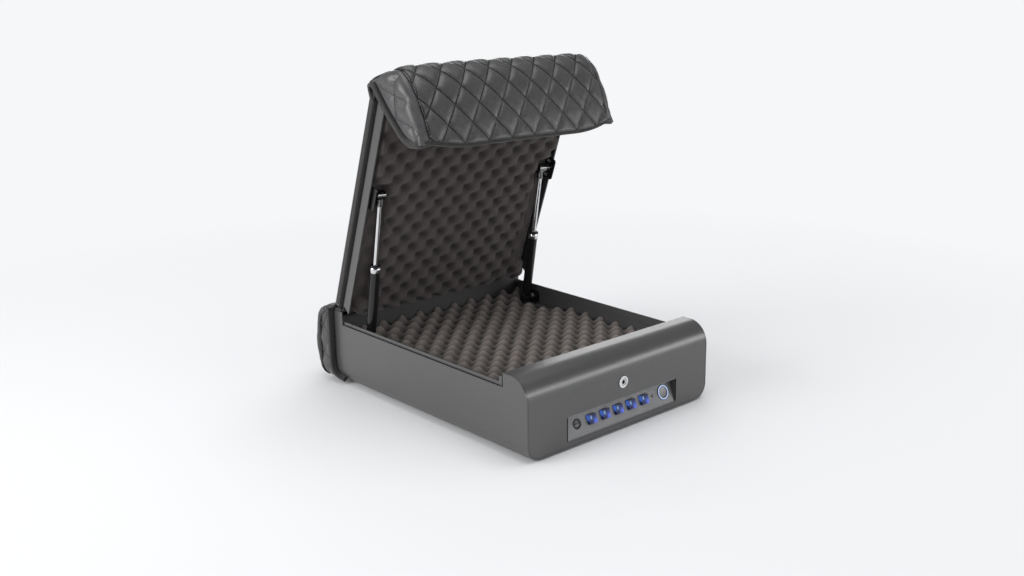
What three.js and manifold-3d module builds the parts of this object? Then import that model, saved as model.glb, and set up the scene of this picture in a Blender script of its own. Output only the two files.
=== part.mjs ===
import * as THREE from "three";
import { mergeVertices } from "three/addons/utils/BufferGeometryUtils.js";
import Module from "manifold-3d";

const wasm = await Module();
wasm.setup();

// Portable car safe with its lid open, in millimetres: x to the right, y from the front face backwards
// and z up from the floor.

// Fits and cuts
const clearance = 0.3; // between neighbouring pieces
const runningGap = 1.1; // between pieces that pass each other
const overrun = 5; // how far a cutting body passes the piece it cuts

// Steel case
const caseWidth = 300;
const caseDepth = 395;
const caseHeight = 96;
const caseSheet = 1.8;
const edgeRadius = 18; // bend along both bottom edges
const frontRollRadius = 27;
const frontSectionDepth = 39.5;
const rearSectionDepth = 41;
const rearRollRadius = 24;
const sideWallHeight = 79;
const footRadius = 9;
const footHeight = 2;
const footInsetX = 35;
const footInsetY = 42;

// Rim lips inside the side walls
const lipSheet = 1.3;
const lipRise = 4.5;
const lipSeat = 5;
const lipBlockLength = 4.5;
const lipBlockRise = 6.5;
const lipSlitWidth = 1.2;
const lipSlitFromRear = 19;

// Lid
const openAngle = THREE.MathUtils.degToRad(70);
const lidSheet = 1.8;
const lidFlange = 16;
const lidBend = 4;
const flangeTipSetback = 5.7;
const flangeRootSetback = 12;

// Continuous hinge
const hingeSetback = 2; // axis behind the front edge of the rear section
const barrelRadius = 3;
const hingePinRadius = 1.3;
const hingeLeaf = 1.2;
const hingeLeafWidth = 16;
const hingeLength = 280;
const knuckleCount = 7;
const knuckleGap = 0.5;

// Gas struts
const strutX = 132;
const strutLowerSetback = 38; // of the lower studs in front of the hinge
const strutLowerZ = 68;
const strutUpperU = 175; // along the lid from the hinge
const strutUpperDepth = 13; // below the lid's outer face
const strutRadius = 6.25;
const strutBore = 3.5;
const strutBarrelEnd = 101;
const strutBarrelFloor = 16;
const strutBarrelChamfer = 1.3;
const strutRodRadius = 3;
const strutRodLength = 118;
const strutSocketRadius = 5.8;
const strutNeckRadius = 4.4;
const strutNeckLength = 14;
const studFlangeRadius = 5;
const studFlangeSheet = 1.5;
const studNeckRadius = 2.3;
const studHeadRadius = 3.4;
const studHeadLength = 2.2;
const bracketSheet = 1.4;
const bracketLength = 30;
const bracketDrop = 24;
const bracketRise = 4;
const bracketPadDrop = 11.5;
const bracketCorner = 4;
const bracketScrewPitch = 20;
const screwHeadRadius = 3;
const screwHeadHeight = 1.6;
const lowerBracketHeight = 16;
const lowerBracketLength = 22;

// Egg-crate foam
const trayCrestsAcross = 10;
const trayCrestsAlong = 11;
const lidCrestsAcross = 10;
const lidCrestsAlong = 10;
const foamRelief = 18;
const trayFoamCrest = 63; // above the case floor
const trayFoamRearRise = 8;
const trayFoamRiseLength = 50;
const strutPocketWidth = 26;
const strutPocketFront = 56;
const strutPocketRear = 22;
const strutPocketFloor = 56;
const lidFoamThickness = 18;
const lidFoamRearSetback = 3;
const lidFoamFrontSetback = 12;
const lidFoamSideSetback = 1;
const lidFoamCorner = 16;
const lidFoamBorder = 4.5;
const lidChannelFront = 17;
const lidChannelRear = 16;

// Keypad recess in the front panel
const windowWidth = 184.5;
const windowHeight = 32;
const windowBottom = 9;
const windowCentreX = 1.75;
const windowCorner = 4;
const keypadSetback = 12; // how far the plate's top edge lies behind the front face
const keypadSheet = 1.5;
const keyCount = 5;
const keyPitch = 21.95;
const keyCentreX = -2.3;
const keyRise = 0;
const keyWidth = 12.2;
const keyHeight = 11.8;
const keyDepth = 5.3;
const keyProud = 2.5;
const keyCorner = 1.6;
const readerX = 76.2;
const readerRadius = 6.4;
const readerDepth = 3;
const ringRadius = 9;
const ringDepth = 1.6;
const ringProud = 0.4;
const statusLightX = 58;
const statusLightRadius = 1.6;
const socketX = -69.2;
const socketRadius = 6;
const socketWall = 0.8;
const socketDepth = 8;
const socketTongue = 1.4;
const boardDepth = 6;
const boardSheet = 1.6;
const boardWidth = 146;
const boardHeight = 24;
const boardCentreX = 15;
const boardPostRadius = 1.8;
const boardPostInset = 6;

// Override lock
const lockBelowRoll = 11.6; // lock axis below the start of the front roll
const lockRingRadius = 7.25;
const lockRingProud = 1.2;
const lockBarrelRadius = 5.5;
const lockBarrelLength = 18;
const lockPlugRadius = 4;
const lockNutRadius = 7.6;
const lockNutLength = 3;
const keySlotWidth = 1.4;
const keySlotHeight = 5.5;
const keySlotDepth = 6;
const camLength = 18;
const camWidth = 8;
const camSheet = 2;

// Latch, its motor and the battery box
const latchTravel = 7;
const boltWidth = 12;
const boltHeight = 4;
const boltSpacing = 120;
const boltDepthInLid = 14; // underside of the bolts below the lid's outer face
const latchBarWidth = 160;
const latchBarDepth = 7;
const latchArmWidth = 18;
const latchArmSheet = 2.5;
const crankX = 45;
const crankPinRadius = 1.5;
const crankDiscRadius = 6.2;
const crankDiscSheet = 2;
const crankSlotPlay = 0.9;
const motorRadius = 7.5;
const motorHeight = 22;
const batteryWidth = 60;
const batteryDepth = 17.5;
const batteryHeight = 25;
const batteryCentreX = -65;

// Quilted leather cover
const diamondsAcross = 9;
const diamondsAlong = 6;
const quiltRelief = 3.5;
const coverThickness = 15;
const coverEdgeThickness = 9;
const coverOverhang = 1.9;
const coverRearSetback = 5;
const coverFrontSetback = 3.9;
const hoodDroop = THREE.MathUtils.degToRad(32);
const hoodDepth = 60;
const hoodDrop = 117;
const hoodThickness = 6;
const hoodGusset = 6.1; // thickness of the padded side gussets
const hoodRows = 7;
const hoodCornerDraw = 12; // how far the front draws in at its two upright corners
const hoodDrawStartShare = 0.25;
const hoodDrawFullShare = 0.45;
const hoodCornerEndShare = 0.94;
const tailLength = 22; // of the cap along the case's sides
const tailSide = 7.2;
const tailBack = 14;
const tailTop = 5.5;
const tailFloorGap = 2.2;
const hingeStripSheet = 1.8;

// Outlines as shares of the sizes above, chosen by hand
const hoodProfileShares = [
  [0.006, 0], [0.35, 0.024], [0.7, 0.066], [0.89, 0.12], [0.975, 0.23],
  [1, 0.36], [0.97, 0.513], [0.9, 0.684], [0.81, 0.855], [0.71, 1],
];
const gussetEdgeShares = [[0.42, 0.9], [0.27, 0.81], [0.15, 0.65], [0.055, 0.4], [0.006, 0.185]];
const tailOutlineShares = [
  [0, 0], [0.5, 0.01], [0.8, 0.05], [0.97, 0.14], [1, 0.38], [0.93, 0.68], [0.76, 0.87], [0.36, 1], [0, 1],
];

// Places worked out from the sizes
const halfWidth = caseWidth / 2;
const innerHalf = halfWidth - caseSheet;
const fitHalf = innerHalf - clearance;
const caseTop = footHeight + caseHeight;
const floorTop = footHeight + caseSheet;
const wallTop = footHeight + sideWallHeight;
const fitFloor = floorTop + clearance;
const earFront = caseDepth - rearSectionDepth;
const hingeY = earFront + hingeSetback;
const hingeZ = caseTop;
const trayFront = frontSectionDepth;
const trayRear = hingeY - clearance - caseSheet;
const lidLength = hingeY - frontSectionDepth - runningGap;
const strutLowerY = hingeY - strutLowerSetback;
const coverLength = lidLength - coverRearSetback - coverFrontSetback;
const overallDepth = lockRingProud + caseDepth + tailBack;
const lipOuter = innerHalf - clearance;
const lipInner = lipOuter - lipSheet;
const bracketOuter = lipInner - clearance;
const bracketInner = bracketOuter - bracketSheet;
const studOuter = bracketInner - clearance;
const studInner = strutX + strutRadius + clearance;
const foldU = coverRearSetback + coverLength + clearance;
const foldN = coverThickness;
const keypadTilt = Math.atan2(keypadSetback, windowHeight);
const lockHeight = caseTop - frontRollRadius - lockBelowRoll;
const boltZ = caseTop - boltDepthInLid;
const boltMiddles = [-boltSpacing / 2, boltSpacing / 2];

// Finishes
const finish = (color, roughness, metalness) => new THREE.MeshStandardMaterial({ color, roughness, metalness });
const powderCoat = () => finish(0x5a5b5e, 0.5, 0.35);
const darkSteel = () => finish(0x3a3a3d, 0.5, 0.5);
const brightSteel = () => finish(0xb9bcc0, 0.28, 0.95);
const blackGloss = () => finish(0x0c0c0e, 0.2, 0.2);
const foam = () => finish(0x453e3a, 0.95, 0);
const leather = () => finish(0x343437, 0.55, 0);
const rubber = () => finish(0x151515, 0.85, 0);
const darkPlastic = () => finish(0x4c4d50, 0.55, 0.1);
const litBlue = () => finish(0x3f6fff, 0.3, 0);

// Geometry helpers
function solid(geometry) {
  const bare = geometry.clone();
  bare.deleteAttribute("normal");
  bare.deleteAttribute("uv");
  const merged = mergeVertices(bare);
  const corners = merged.index.array;
  const kept = [];
  for (let i = 0; i < corners.length; i += 3) {
    const [a, b, c] = [corners[i], corners[i + 1], corners[i + 2]];
    if (a !== b && b !== c && c !== a) kept.push(a, b, c);
  }
  const vertProperties = new Float32Array(merged.attributes.position.array);
  return new wasm.Manifold(new wasm.Mesh({ numProp: 3, vertProperties, triVerts: new Uint32Array(kept) }));
}

function surface(body) {
  const mesh = body.getMesh();
  const geometry = new THREE.BufferGeometry();
  const corners = new Float32Array(mesh.vertProperties);
  geometry.setAttribute("position", new THREE.BufferAttribute(corners, mesh.numProp));
  geometry.setIndex(new THREE.BufferAttribute(new Uint32Array(mesh.triVerts), 1));
  geometry.computeVertexNormals();
  return geometry;
}

const joined = (bodies) => bodies.reduce((whole, next) => whole.add(next));

function box(low, high) {
  const size = high.map((value, i) => value - low[i]);
  const geometry = new THREE.BoxGeometry(...size);
  geometry.translate(...low.map((value, i) => value + size[i] / 2));
  return solid(geometry);
}

function cylinder(axis, radius, start, length, sides = 24) {
  const geometry = new THREE.CylinderGeometry(radius, radius, length, sides);
  geometry.translate(0, length / 2, 0);
  if (axis === "x") geometry.rotateZ(-Math.PI / 2);
  if (axis === "z") geometry.rotateX(Math.PI / 2);
  geometry.translate(...start);
  return solid(geometry);
}

function extruded(shape, depth, curveSegments) {
  return new THREE.ExtrudeGeometry(shape, { depth, bevelEnabled: false, curveSegments });
}

// A shape drawn in (y, z) and extruded along x.
function prismX(shape, xStart, xEnd, curveSegments = 8) {
  const geometry = extruded(shape, xEnd - xStart, curveSegments);
  const basis = new THREE.Matrix4().makeBasis(
    new THREE.Vector3(0, 1, 0),
    new THREE.Vector3(0, 0, 1),
    new THREE.Vector3(1, 0, 0),
  );
  geometry.applyMatrix4(basis);
  geometry.translate(xStart, 0, 0);
  return solid(geometry);
}

// A shape drawn in (x, z) and extruded along y.
function prismY(shape, yStart, yEnd, curveSegments = 8) {
  const geometry = extruded(shape, yEnd - yStart, curveSegments);
  geometry.rotateX(Math.PI / 2);
  geometry.translate(0, yEnd, 0);
  return solid(geometry);
}

// A shape drawn in (x, y) and extruded along z.
function prismZ(shape, zStart, zEnd, curveSegments = 8) {
  const geometry = extruded(shape, zEnd - zStart, curveSegments);
  geometry.translate(0, 0, zStart);
  return solid(geometry);
}

function polygon(points) {
  return new THREE.Shape(points.map(([a, b]) => new THREE.Vector2(a, b)));
}

function roundedRectangle(a0, b0, a1, b1, radius) {
  const shape = new THREE.Shape();
  shape.moveTo(a0 + radius, b0);
  shape.absarc(a1 - radius, b0 + radius, radius, -Math.PI / 2, 0);
  shape.absarc(a1 - radius, b1 - radius, radius, 0, Math.PI / 2);
  shape.absarc(a0 + radius, b1 - radius, radius, Math.PI / 2, Math.PI);
  shape.absarc(a0 + radius, b0 + radius, radius, Math.PI, 1.5 * Math.PI);
  return shape;
}

function turned(profile, sides = 24) {
  const points = profile.map(([radius, height]) => new THREE.Vector2(radius, height));
  const geometry = new THREE.LatheGeometry(points, sides);
  geometry.rotateX(Math.PI / 2);
  return solid(geometry);
}

// A closed body between a grid of points and a second surface, with its cells split along the seams or
// round a middle point.
function gridBody(columns, rows, top, bottom, centres) {
  const positions = [];
  const corners = [];
  const vertex = (point) => positions.push(...point) / 3 - 1;
  const topIndex = [];
  const bottomIndex = [];
  for (let j = 0; j <= rows; j += 1) {
    for (let i = 0; i <= columns; i += 1) {
      const onEdge = i === 0 || j === 0 || i === columns || j === rows;
      topIndex.push(vertex(top(i, j)));
      bottomIndex.push(onEdge || bottom.full ? vertex(bottom.at(i, j)) : -1);
    }
  }
  const at = (i, j) => j * (columns + 1) + i;
  const triangle = (a, b, c) => corners.push(a, b, c);
  for (let j = 0; j < rows; j += 1) {
    for (let i = 0; i < columns; i += 1) {
      const [a, b, c, d] = [at(i, j), at(i + 1, j), at(i + 1, j + 1), at(i, j + 1)];
      if (centres) {
        const middle = vertex(top(i + 0.5, j + 0.5));
        [[a, b], [b, c], [c, d], [d, a]].forEach(([p, q]) => triangle(topIndex[p], topIndex[q], middle));
      } else if ((i + j) % 2 === 0) {
        triangle(topIndex[a], topIndex[b], topIndex[c]);
        triangle(topIndex[a], topIndex[c], topIndex[d]);
      } else {
        triangle(topIndex[a], topIndex[b], topIndex[d]);
        triangle(topIndex[b], topIndex[c], topIndex[d]);
      }
      if (bottom.full) {
        triangle(bottomIndex[a], bottomIndex[c], bottomIndex[b]);
        triangle(bottomIndex[a], bottomIndex[d], bottomIndex[c]);
      }
    }
  }
  const rim = [];
  for (let i = 0; i < columns; i += 1) rim.push(at(i, 0));
  for (let j = 0; j < rows; j += 1) rim.push(at(columns, j));
  for (let i = columns; i > 0; i -= 1) rim.push(at(i, rows));
  for (let j = rows; j > 0; j -= 1) rim.push(at(0, j));
  const hub = bottom.full ? -1 : vertex(bottom.at(columns / 2, rows / 2));
  rim.forEach((p, k) => {
    const q = rim[(k + 1) % rim.length];
    triangle(topIndex[q], topIndex[p], bottomIndex[p]);
    triangle(topIndex[q], bottomIndex[p], bottomIndex[q]);
    if (!bottom.full) triangle(bottomIndex[q], bottomIndex[p], hub);
  });
  const geometry = new THREE.BufferGeometry();
  geometry.setAttribute("position", new THREE.Float32BufferAttribute(positions, 3));
  geometry.setIndex(corners);
  return solid(geometry);
}

function place(group, name, body, material, build = surface) {
  const mesh = new THREE.Mesh(build(body), material);
  mesh.name = name;
  group.add(mesh);
  return mesh;
}

// The case as bent sheet: a trough whose side walls follow the rolls of the front and the rear.
function troughShape() {
  const shape = new THREE.Shape();
  const [bend, inner] = [edgeRadius, edgeRadius - caseSheet];
  const bendZ = footHeight + bend;
  const bendX = halfWidth - bend;
  shape.moveTo(-halfWidth, caseTop);
  shape.lineTo(-halfWidth, bendZ);
  shape.absarc(-bendX, bendZ, bend, Math.PI, 1.5 * Math.PI);
  shape.absarc(bendX, bendZ, bend, 1.5 * Math.PI, 2 * Math.PI);
  shape.lineTo(halfWidth, caseTop);
  shape.lineTo(innerHalf, caseTop);
  shape.absarc(bendX, bendZ, inner, 0, -Math.PI / 2, true);
  shape.absarc(-bendX, bendZ, inner, 1.5 * Math.PI, Math.PI, true);
  shape.lineTo(-innerHalf, caseTop);
  return shape;
}

function sideShape() {
  const shape = new THREE.Shape();
  shape.moveTo(0, footHeight);
  shape.lineTo(0, caseTop - frontRollRadius);
  shape.absarc(frontRollRadius, caseTop - frontRollRadius, frontRollRadius, Math.PI, Math.PI / 2, true);
  shape.lineTo(frontSectionDepth, caseTop);
  shape.lineTo(frontSectionDepth, wallTop);
  shape.lineTo(earFront, wallTop);
  shape.lineTo(earFront, caseTop);
  shape.absarc(caseDepth - rearRollRadius, caseTop - rearRollRadius, rearRollRadius, Math.PI / 2, 0, true);
  shape.lineTo(caseDepth, footHeight);
  return shape;
}

function caseShell() {
  const trough = prismY(troughShape(), 0, caseDepth);
  return trough.intersect(prismX(sideShape(), -halfWidth - overrun, halfWidth + overrun, 10));
}

// The cross-section that fits inside the trough with the named clearance.
function troughFit(yStart, yEnd, top) {
  const radius = edgeRadius - caseSheet - clearance;
  const shape = new THREE.Shape();
  shape.moveTo(-fitHalf, top);
  shape.lineTo(-fitHalf, fitFloor + radius);
  shape.absarc(-fitHalf + radius, fitFloor + radius, radius, Math.PI, 1.5 * Math.PI);
  shape.absarc(fitHalf - radius, fitFloor + radius, radius, 1.5 * Math.PI, 2 * Math.PI);
  shape.lineTo(fitHalf, top);
  return prismY(shape, yStart, yEnd);
}

function rolledSheetShape(rollRadius, faceY, edgeY) {
  const side = Math.sign(edgeY - faceY);
  const rollY = faceY + side * rollRadius;
  const rollZ = caseTop - rollRadius;
  const inner = rollRadius - caseSheet;
  const flank = side > 0 ? Math.PI : 0;
  const shape = new THREE.Shape();
  shape.moveTo(faceY, fitFloor);
  shape.lineTo(faceY, rollZ);
  shape.absarc(rollY, rollZ, rollRadius, flank, Math.PI / 2, side > 0);
  shape.lineTo(edgeY, caseTop);
  shape.lineTo(edgeY, caseTop - caseSheet);
  shape.absarc(rollY, rollZ, inner, Math.PI / 2, flank, side < 0);
  shape.lineTo(faceY + side * caseSheet, fitFloor);
  return shape;
}

function keypadWindow(yStart, yEnd, inset) {
  const left = windowCentreX - windowWidth / 2 + inset;
  const right = windowCentreX + windowWidth / 2 - inset;
  const top = windowBottom + windowHeight - inset;
  const corner = windowCorner - inset;
  return prismY(roundedRectangle(left, windowBottom + inset, right, top, corner), yStart, yEnd, 4);
}

function frontPanel() {
  const sheet = prismX(rolledSheetShape(frontRollRadius, 0, frontSectionDepth), -fitHalf, fitHalf, 14);
  const bounds = troughFit(-overrun, frontSectionDepth + overrun, caseTop + overrun);
  const holeRadius = lockBarrelRadius + clearance;
  const lockHole = cylinder("y", holeRadius, [0, -overrun, lockHeight], caseSheet + 2 * overrun);
  const window = keypadWindow(-overrun, caseSheet + overrun, 0);
  return sheet.intersect(bounds).subtract(lockHole).subtract(window);
}

function rearPanel() {
  const deckFront = hingeY + barrelRadius + 2 * clearance;
  const sheet = prismX(rolledSheetShape(rearRollRadius, caseDepth, deckFront), -fitHalf, fitHalf, 8);
  return sheet.intersect(troughFit(deckFront - overrun, caseDepth + overrun, caseTop + overrun));
}

function trayFrontWall() {
  const wall = troughFit(frontSectionDepth - caseSheet, frontSectionDepth, caseTop - caseSheet - clearance);
  const half = boltWidth / 2 + clearance;
  const [front, rear] = [frontSectionDepth - caseSheet - overrun, frontSectionDepth + overrun];
  const slots = boltMiddles.map((x) => box(
    [x - half, front, boltZ - clearance],
    [x + half, rear, boltZ + boltHeight + clearance],
  ));
  return wall.subtract(joined(slots));
}

function trayRearWall() {
  return troughFit(trayRear, trayRear + caseSheet, hingeZ - barrelRadius - hingeLeaf - clearance);
}

function rimLip(side) {
  const front = frontSectionDepth + runningGap + lidSheet + runningGap;
  const rear = earFront - runningGap;
  const bottom = wallTop - lipSeat;
  const top = wallTop + lipRise;
  const shape = polygon([
    [front, bottom], [rear, bottom], [rear, top],
    [front + lipBlockLength, top], [front + lipBlockLength, top + lipBlockRise], [front, top + lipBlockRise],
  ]);
  const [xStart, xEnd] = side > 0 ? [lipInner, lipOuter] : [-lipOuter, -lipInner];
  const slitY = earFront - lipSlitFromRear;
  const slit = box([xStart - overrun, slitY, wallTop], [xEnd + overrun, slitY + lipSlitWidth, top + overrun]);
  return prismX(shape, xStart, xEnd).subtract(slit);
}

function foot(x, y) {
  const chamfer = footHeight / 4;
  const top = footHeight - clearance;
  const body = turned([
    [0, 0], [footRadius - chamfer, 0], [footRadius, chamfer], [footRadius, top], [0, top],
  ]);
  return body.translate([x, y, 0]);
}

// Egg-crate surface: crests on a rectangular lattice with one more in the middle of each cell. A whole number
// of crests fills the pad both ways.
function eggCrate(width, length, crestsAcross, crestsAlong, crest, base, rise) {
  const [columns, rows] = [2 * crestsAcross, 2 * crestsAlong];
  const spot = (i, j) => [width * (i / columns - 1 / 2), length * (j / rows - 1 / 2)];
  const valley = (i, j) => (1 - Math.cos(Math.PI * i) * Math.cos(Math.PI * j)) / 2;
  const top = (i, j) => {
    const [x, y] = spot(i, j);
    return [x, y, crest + rise(y) - foamRelief * valley(i, j)];
  };
  return gridBody(columns, rows, top, { full: false, at: (i, j) => [...spot(i, j), base] }, true);
}

function trayFoam() {
  const [front, rear] = [trayFront + clearance, trayRear - clearance];
  const middle = (front + rear) / 2;
  const length = rear - front;
  const rampStart = rear - trayFoamRiseLength - middle;
  const rise = (y) => trayFoamRearRise * Math.min(1, Math.max(0, (y - rampStart) / trayFoamRiseLength));
  const [crest, base] = [floorTop + trayFoamCrest, fitFloor - overrun];
  const crate = eggCrate(2 * fitHalf, length, trayCrestsAcross, trayCrestsAlong, crest, base, rise);
  const bounds = troughFit(front, rear, caseTop);
  const pocketInner = halfWidth - strutPocketWidth;
  const pockets = [-1, 1].map((side) => {
    const [x0, x1] = side > 0 ? [pocketInner, halfWidth] : [-halfWidth, -pocketInner];
    const pocketFront = strutLowerY - strutPocketFront;
    const pocketRear = strutLowerY + strutPocketRear;
    return box([x0, pocketFront, footHeight + strutPocketFloor], [x1, pocketRear, caseTop]);
  });
  return crate.translate([0, middle, 0]).intersect(bounds).subtract(joined(pockets));
}

// The keypad recess: a tilted plate whose bottom edge meets the window and whose top edge lies behind it.
function wedgeShape(inset, forward) {
  const bottom = windowBottom + clearance + inset;
  const top = windowBottom + windowHeight - clearance - inset;
  const back = caseSheet / 2 + keypadSetback - inset;
  return polygon([[forward, bottom], [caseSheet / 2, bottom], [back, top], [forward, top]]);
}

function keypadPlateBody() {
  const reach = windowWidth / 2 - clearance;
  const innerReach = reach - keypadSheet;
  const outer = prismX(wedgeShape(0, clearance), windowCentreX - reach, windowCentreX + reach);
  const hollow = wedgeShape(keypadSheet, -overrun);
  const inner = prismX(hollow, windowCentreX - innerReach, windowCentreX + innerReach);
  return outer.intersect(keypadWindow(-overrun, keypadSetback + overrun, clearance)).subtract(inner);
}

// Keypad coordinates: the origin on the plate's outer face, z up the plate, minus y out of the face.
const keypadOrigin = new THREE.Vector3(
  0,
  caseSheet / 2 + keypadSetback / 2 - keypadSheet,
  windowBottom + windowHeight / 2,
);

function toKeypad(body) {
  const degrees = THREE.MathUtils.radToDeg(-keypadTilt);
  return body.rotate([degrees, 0, 0]).translate(keypadOrigin.toArray());
}

const keyX = (index) => keyCentreX + (index - (keyCount - 1) / 2) * keyPitch;

function keyBlock(x, width, height, corner, yStart, yEnd) {
  const low = [x - width / 2, keyRise - height / 2];
  const high = [x + width / 2, keyRise + height / 2];
  return prismY(roundedRectangle(...low, ...high, corner), yStart, yEnd, 3);
}

function keypadPlate() {
  const through = keypadSheet + overrun;
  const holes = [];
  for (let i = 0; i < keyCount; i += 1) {
    const size = 2 * clearance;
    holes.push(keyBlock(keyX(i), keyWidth + size, keyHeight + size, keyCorner, -overrun, through));
  }
  const rounds = [[readerX, ringRadius], [statusLightX, statusLightRadius], [socketX, socketRadius]];
  rounds.forEach(([x, radius]) => {
    holes.push(cylinder("y", radius + clearance, [x, -overrun, keyRise], through + overrun));
  });
  const reachX = boardWidth / 2 - boardPostInset;
  const reachZ = boardHeight / 2 - boardPostRadius;
  const postLength = boardDepth - clearance - keypadSheet / 2;
  const posts = [];
  [-reachX, reachX].forEach((x) => [-reachZ, reachZ].forEach((z) => {
    posts.push(cylinder("y", boardPostRadius, [boardCentreX + x, keypadSheet / 2, z], postLength, 12));
  }));
  return keypadPlateBody().add(toKeypad(joined(posts))).subtract(toKeypad(joined(holes)));
}

function keyCap(index) {
  return toKeypad(keyBlock(keyX(index), keyWidth, keyHeight, keyCorner, -keyProud, keyDepth - keyProud));
}

function readerDisc() {
  return toKeypad(cylinder("y", readerRadius, [readerX, 0, keyRise], readerDepth));
}

function readerRing() {
  const hole = cylinder("y", readerRadius + clearance, [readerX, -overrun, keyRise], ringDepth + 2 * overrun);
  const outer = cylinder("y", ringRadius, [readerX, -ringProud, keyRise], ringDepth);
  return toKeypad(outer.subtract(hole));
}

function statusLight() {
  const length = keypadSheet + ringProud;
  return toKeypad(cylinder("y", statusLightRadius, [statusLightX, -ringProud, keyRise], length, 12));
}

function powerSocket() {
  const cup = cylinder("y", socketRadius, [socketX, 0, keyRise], socketDepth);
  const reach = socketRadius - socketWall;
  const well = cylinder("y", reach, [socketX, -overrun, keyRise], socketDepth - socketWall + overrun);
  const tongue = box(
    [socketX - reach / 2, socketWall, keyRise - socketTongue / 2],
    [socketX + reach / 2, socketDepth - socketWall / 2, keyRise + socketTongue / 2],
  );
  return toKeypad(cup.subtract(well).add(tongue));
}

function controlBoard() {
  const low = [boardCentreX - boardWidth / 2, boardDepth, -boardHeight / 2];
  return toKeypad(box(low, [low[0] + boardWidth, boardDepth + boardSheet, boardHeight / 2]));
}

// Override lock on the front panel's centre line
function lockBarrel() {
  const ring = cylinder("y", lockRingRadius, [0, -lockRingProud, lockHeight], lockRingProud - clearance);
  const length = lockBarrelLength + lockRingProud;
  const tube = cylinder("y", lockBarrelRadius, [0, -lockRingProud, lockHeight], length);
  const bore = lockPlugRadius + clearance;
  const hole = cylinder("y", bore, [0, -overrun, lockHeight], length + 2 * overrun);
  return ring.add(tube).subtract(hole);
}

function lockNut() {
  const nut = cylinder("y", lockNutRadius, [0, caseSheet + clearance, lockHeight], lockNutLength, 6);
  const bore = lockBarrelRadius + clearance;
  const hole = cylinder("y", bore, [0, -overrun, lockHeight], lockNutLength + 3 * overrun);
  return nut.subtract(hole);
}

function lockPlug() {
  const front = -lockRingProud / 2;
  const plug = cylinder("y", lockPlugRadius, [0, front, lockHeight], lockBarrelLength + clearance - front);
  const slot = box(
    [-keySlotWidth / 2, front - overrun, lockHeight - keySlotHeight / 2],
    [keySlotWidth / 2, front + keySlotDepth, lockHeight + keySlotHeight / 2],
  );
  return plug.subtract(slot);
}

function lockCam() {
  const start = lockBarrelLength + 2 * clearance;
  const half = camWidth / 2;
  const tip = lockHeight + camLength - half;
  const shape = roundedRectangle(-half, lockHeight - half, half, tip, half - clearance);
  return prismY(shape, start, start + camSheet, 5);
}

// Latch bar with two bolts, pushed by a crank on the motor's shaft
const boltTip = frontSectionDepth - clearance;
const latchBarRear = frontSectionDepth - caseSheet - latchTravel - clearance;
const latchBarFront = latchBarRear - latchBarDepth;
const crankRadius = latchTravel / 2;
const crankPinRest = latchBarFront - crankPinRadius - crankSlotPlay - latchArmSheet;
const crankY = crankPinRest + crankRadius;

function latchBar() {
  const top = boltZ + boltHeight;
  const bar = box([-latchBarWidth / 2, latchBarFront, boltZ], [latchBarWidth / 2, latchBarRear, top]);
  const bolts = boltMiddles.map((x) => box(
    [x - boltWidth / 2, latchBarRear - clearance, boltZ],
    [x + boltWidth / 2, boltTip, top],
  ));
  const slotHalf = crankPinRadius + crankSlotPlay;
  const arm = box(
    [crankX - latchArmWidth / 2, crankPinRest - slotHalf - latchArmSheet, boltZ],
    [crankX + latchArmWidth / 2, latchBarFront + clearance, boltZ + latchArmSheet],
  );
  const slotReach = crankRadius + slotHalf;
  const slot = box(
    [crankX - slotReach, crankPinRest - slotHalf, boltZ - overrun],
    [crankX + slotReach, crankPinRest + slotHalf, top + overrun],
  );
  return joined([bar, ...bolts, arm]).subtract(slot);
}

function crank() {
  const discZ = boltZ - crankDiscSheet - 2 * clearance;
  const disc = cylinder("z", crankDiscRadius, [crankX, crankY, discZ], crankDiscSheet);
  const pinLength = crankDiscSheet + 2 * clearance + latchArmSheet;
  return disc.add(cylinder("z", crankPinRadius, [crankX, crankPinRest, discZ], pinLength, 12));
}

function latchMotor() {
  const top = boltZ - crankDiscSheet - 3 * clearance;
  const can = cylinder("z", motorRadius, [crankX, crankY, top - motorHeight], motorHeight);
  const mountRear = frontSectionDepth - caseSheet - clearance;
  const mount = box(
    [crankX - motorRadius / 2, crankY, top - motorHeight],
    [crankX + motorRadius / 2, mountRear, top - motorHeight / 2],
  );
  return can.add(mount);
}

function batteryBox() {
  const rear = frontSectionDepth - caseSheet - clearance;
  const middle = lockHeight;
  return prismY(
    roundedRectangle(
      batteryCentreX - batteryWidth / 2, middle - batteryHeight / 2,
      batteryCentreX + batteryWidth / 2, middle + batteryHeight / 2, batteryHeight / 8,
    ),
    rear - batteryDepth, rear, 3,
  );
}

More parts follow.
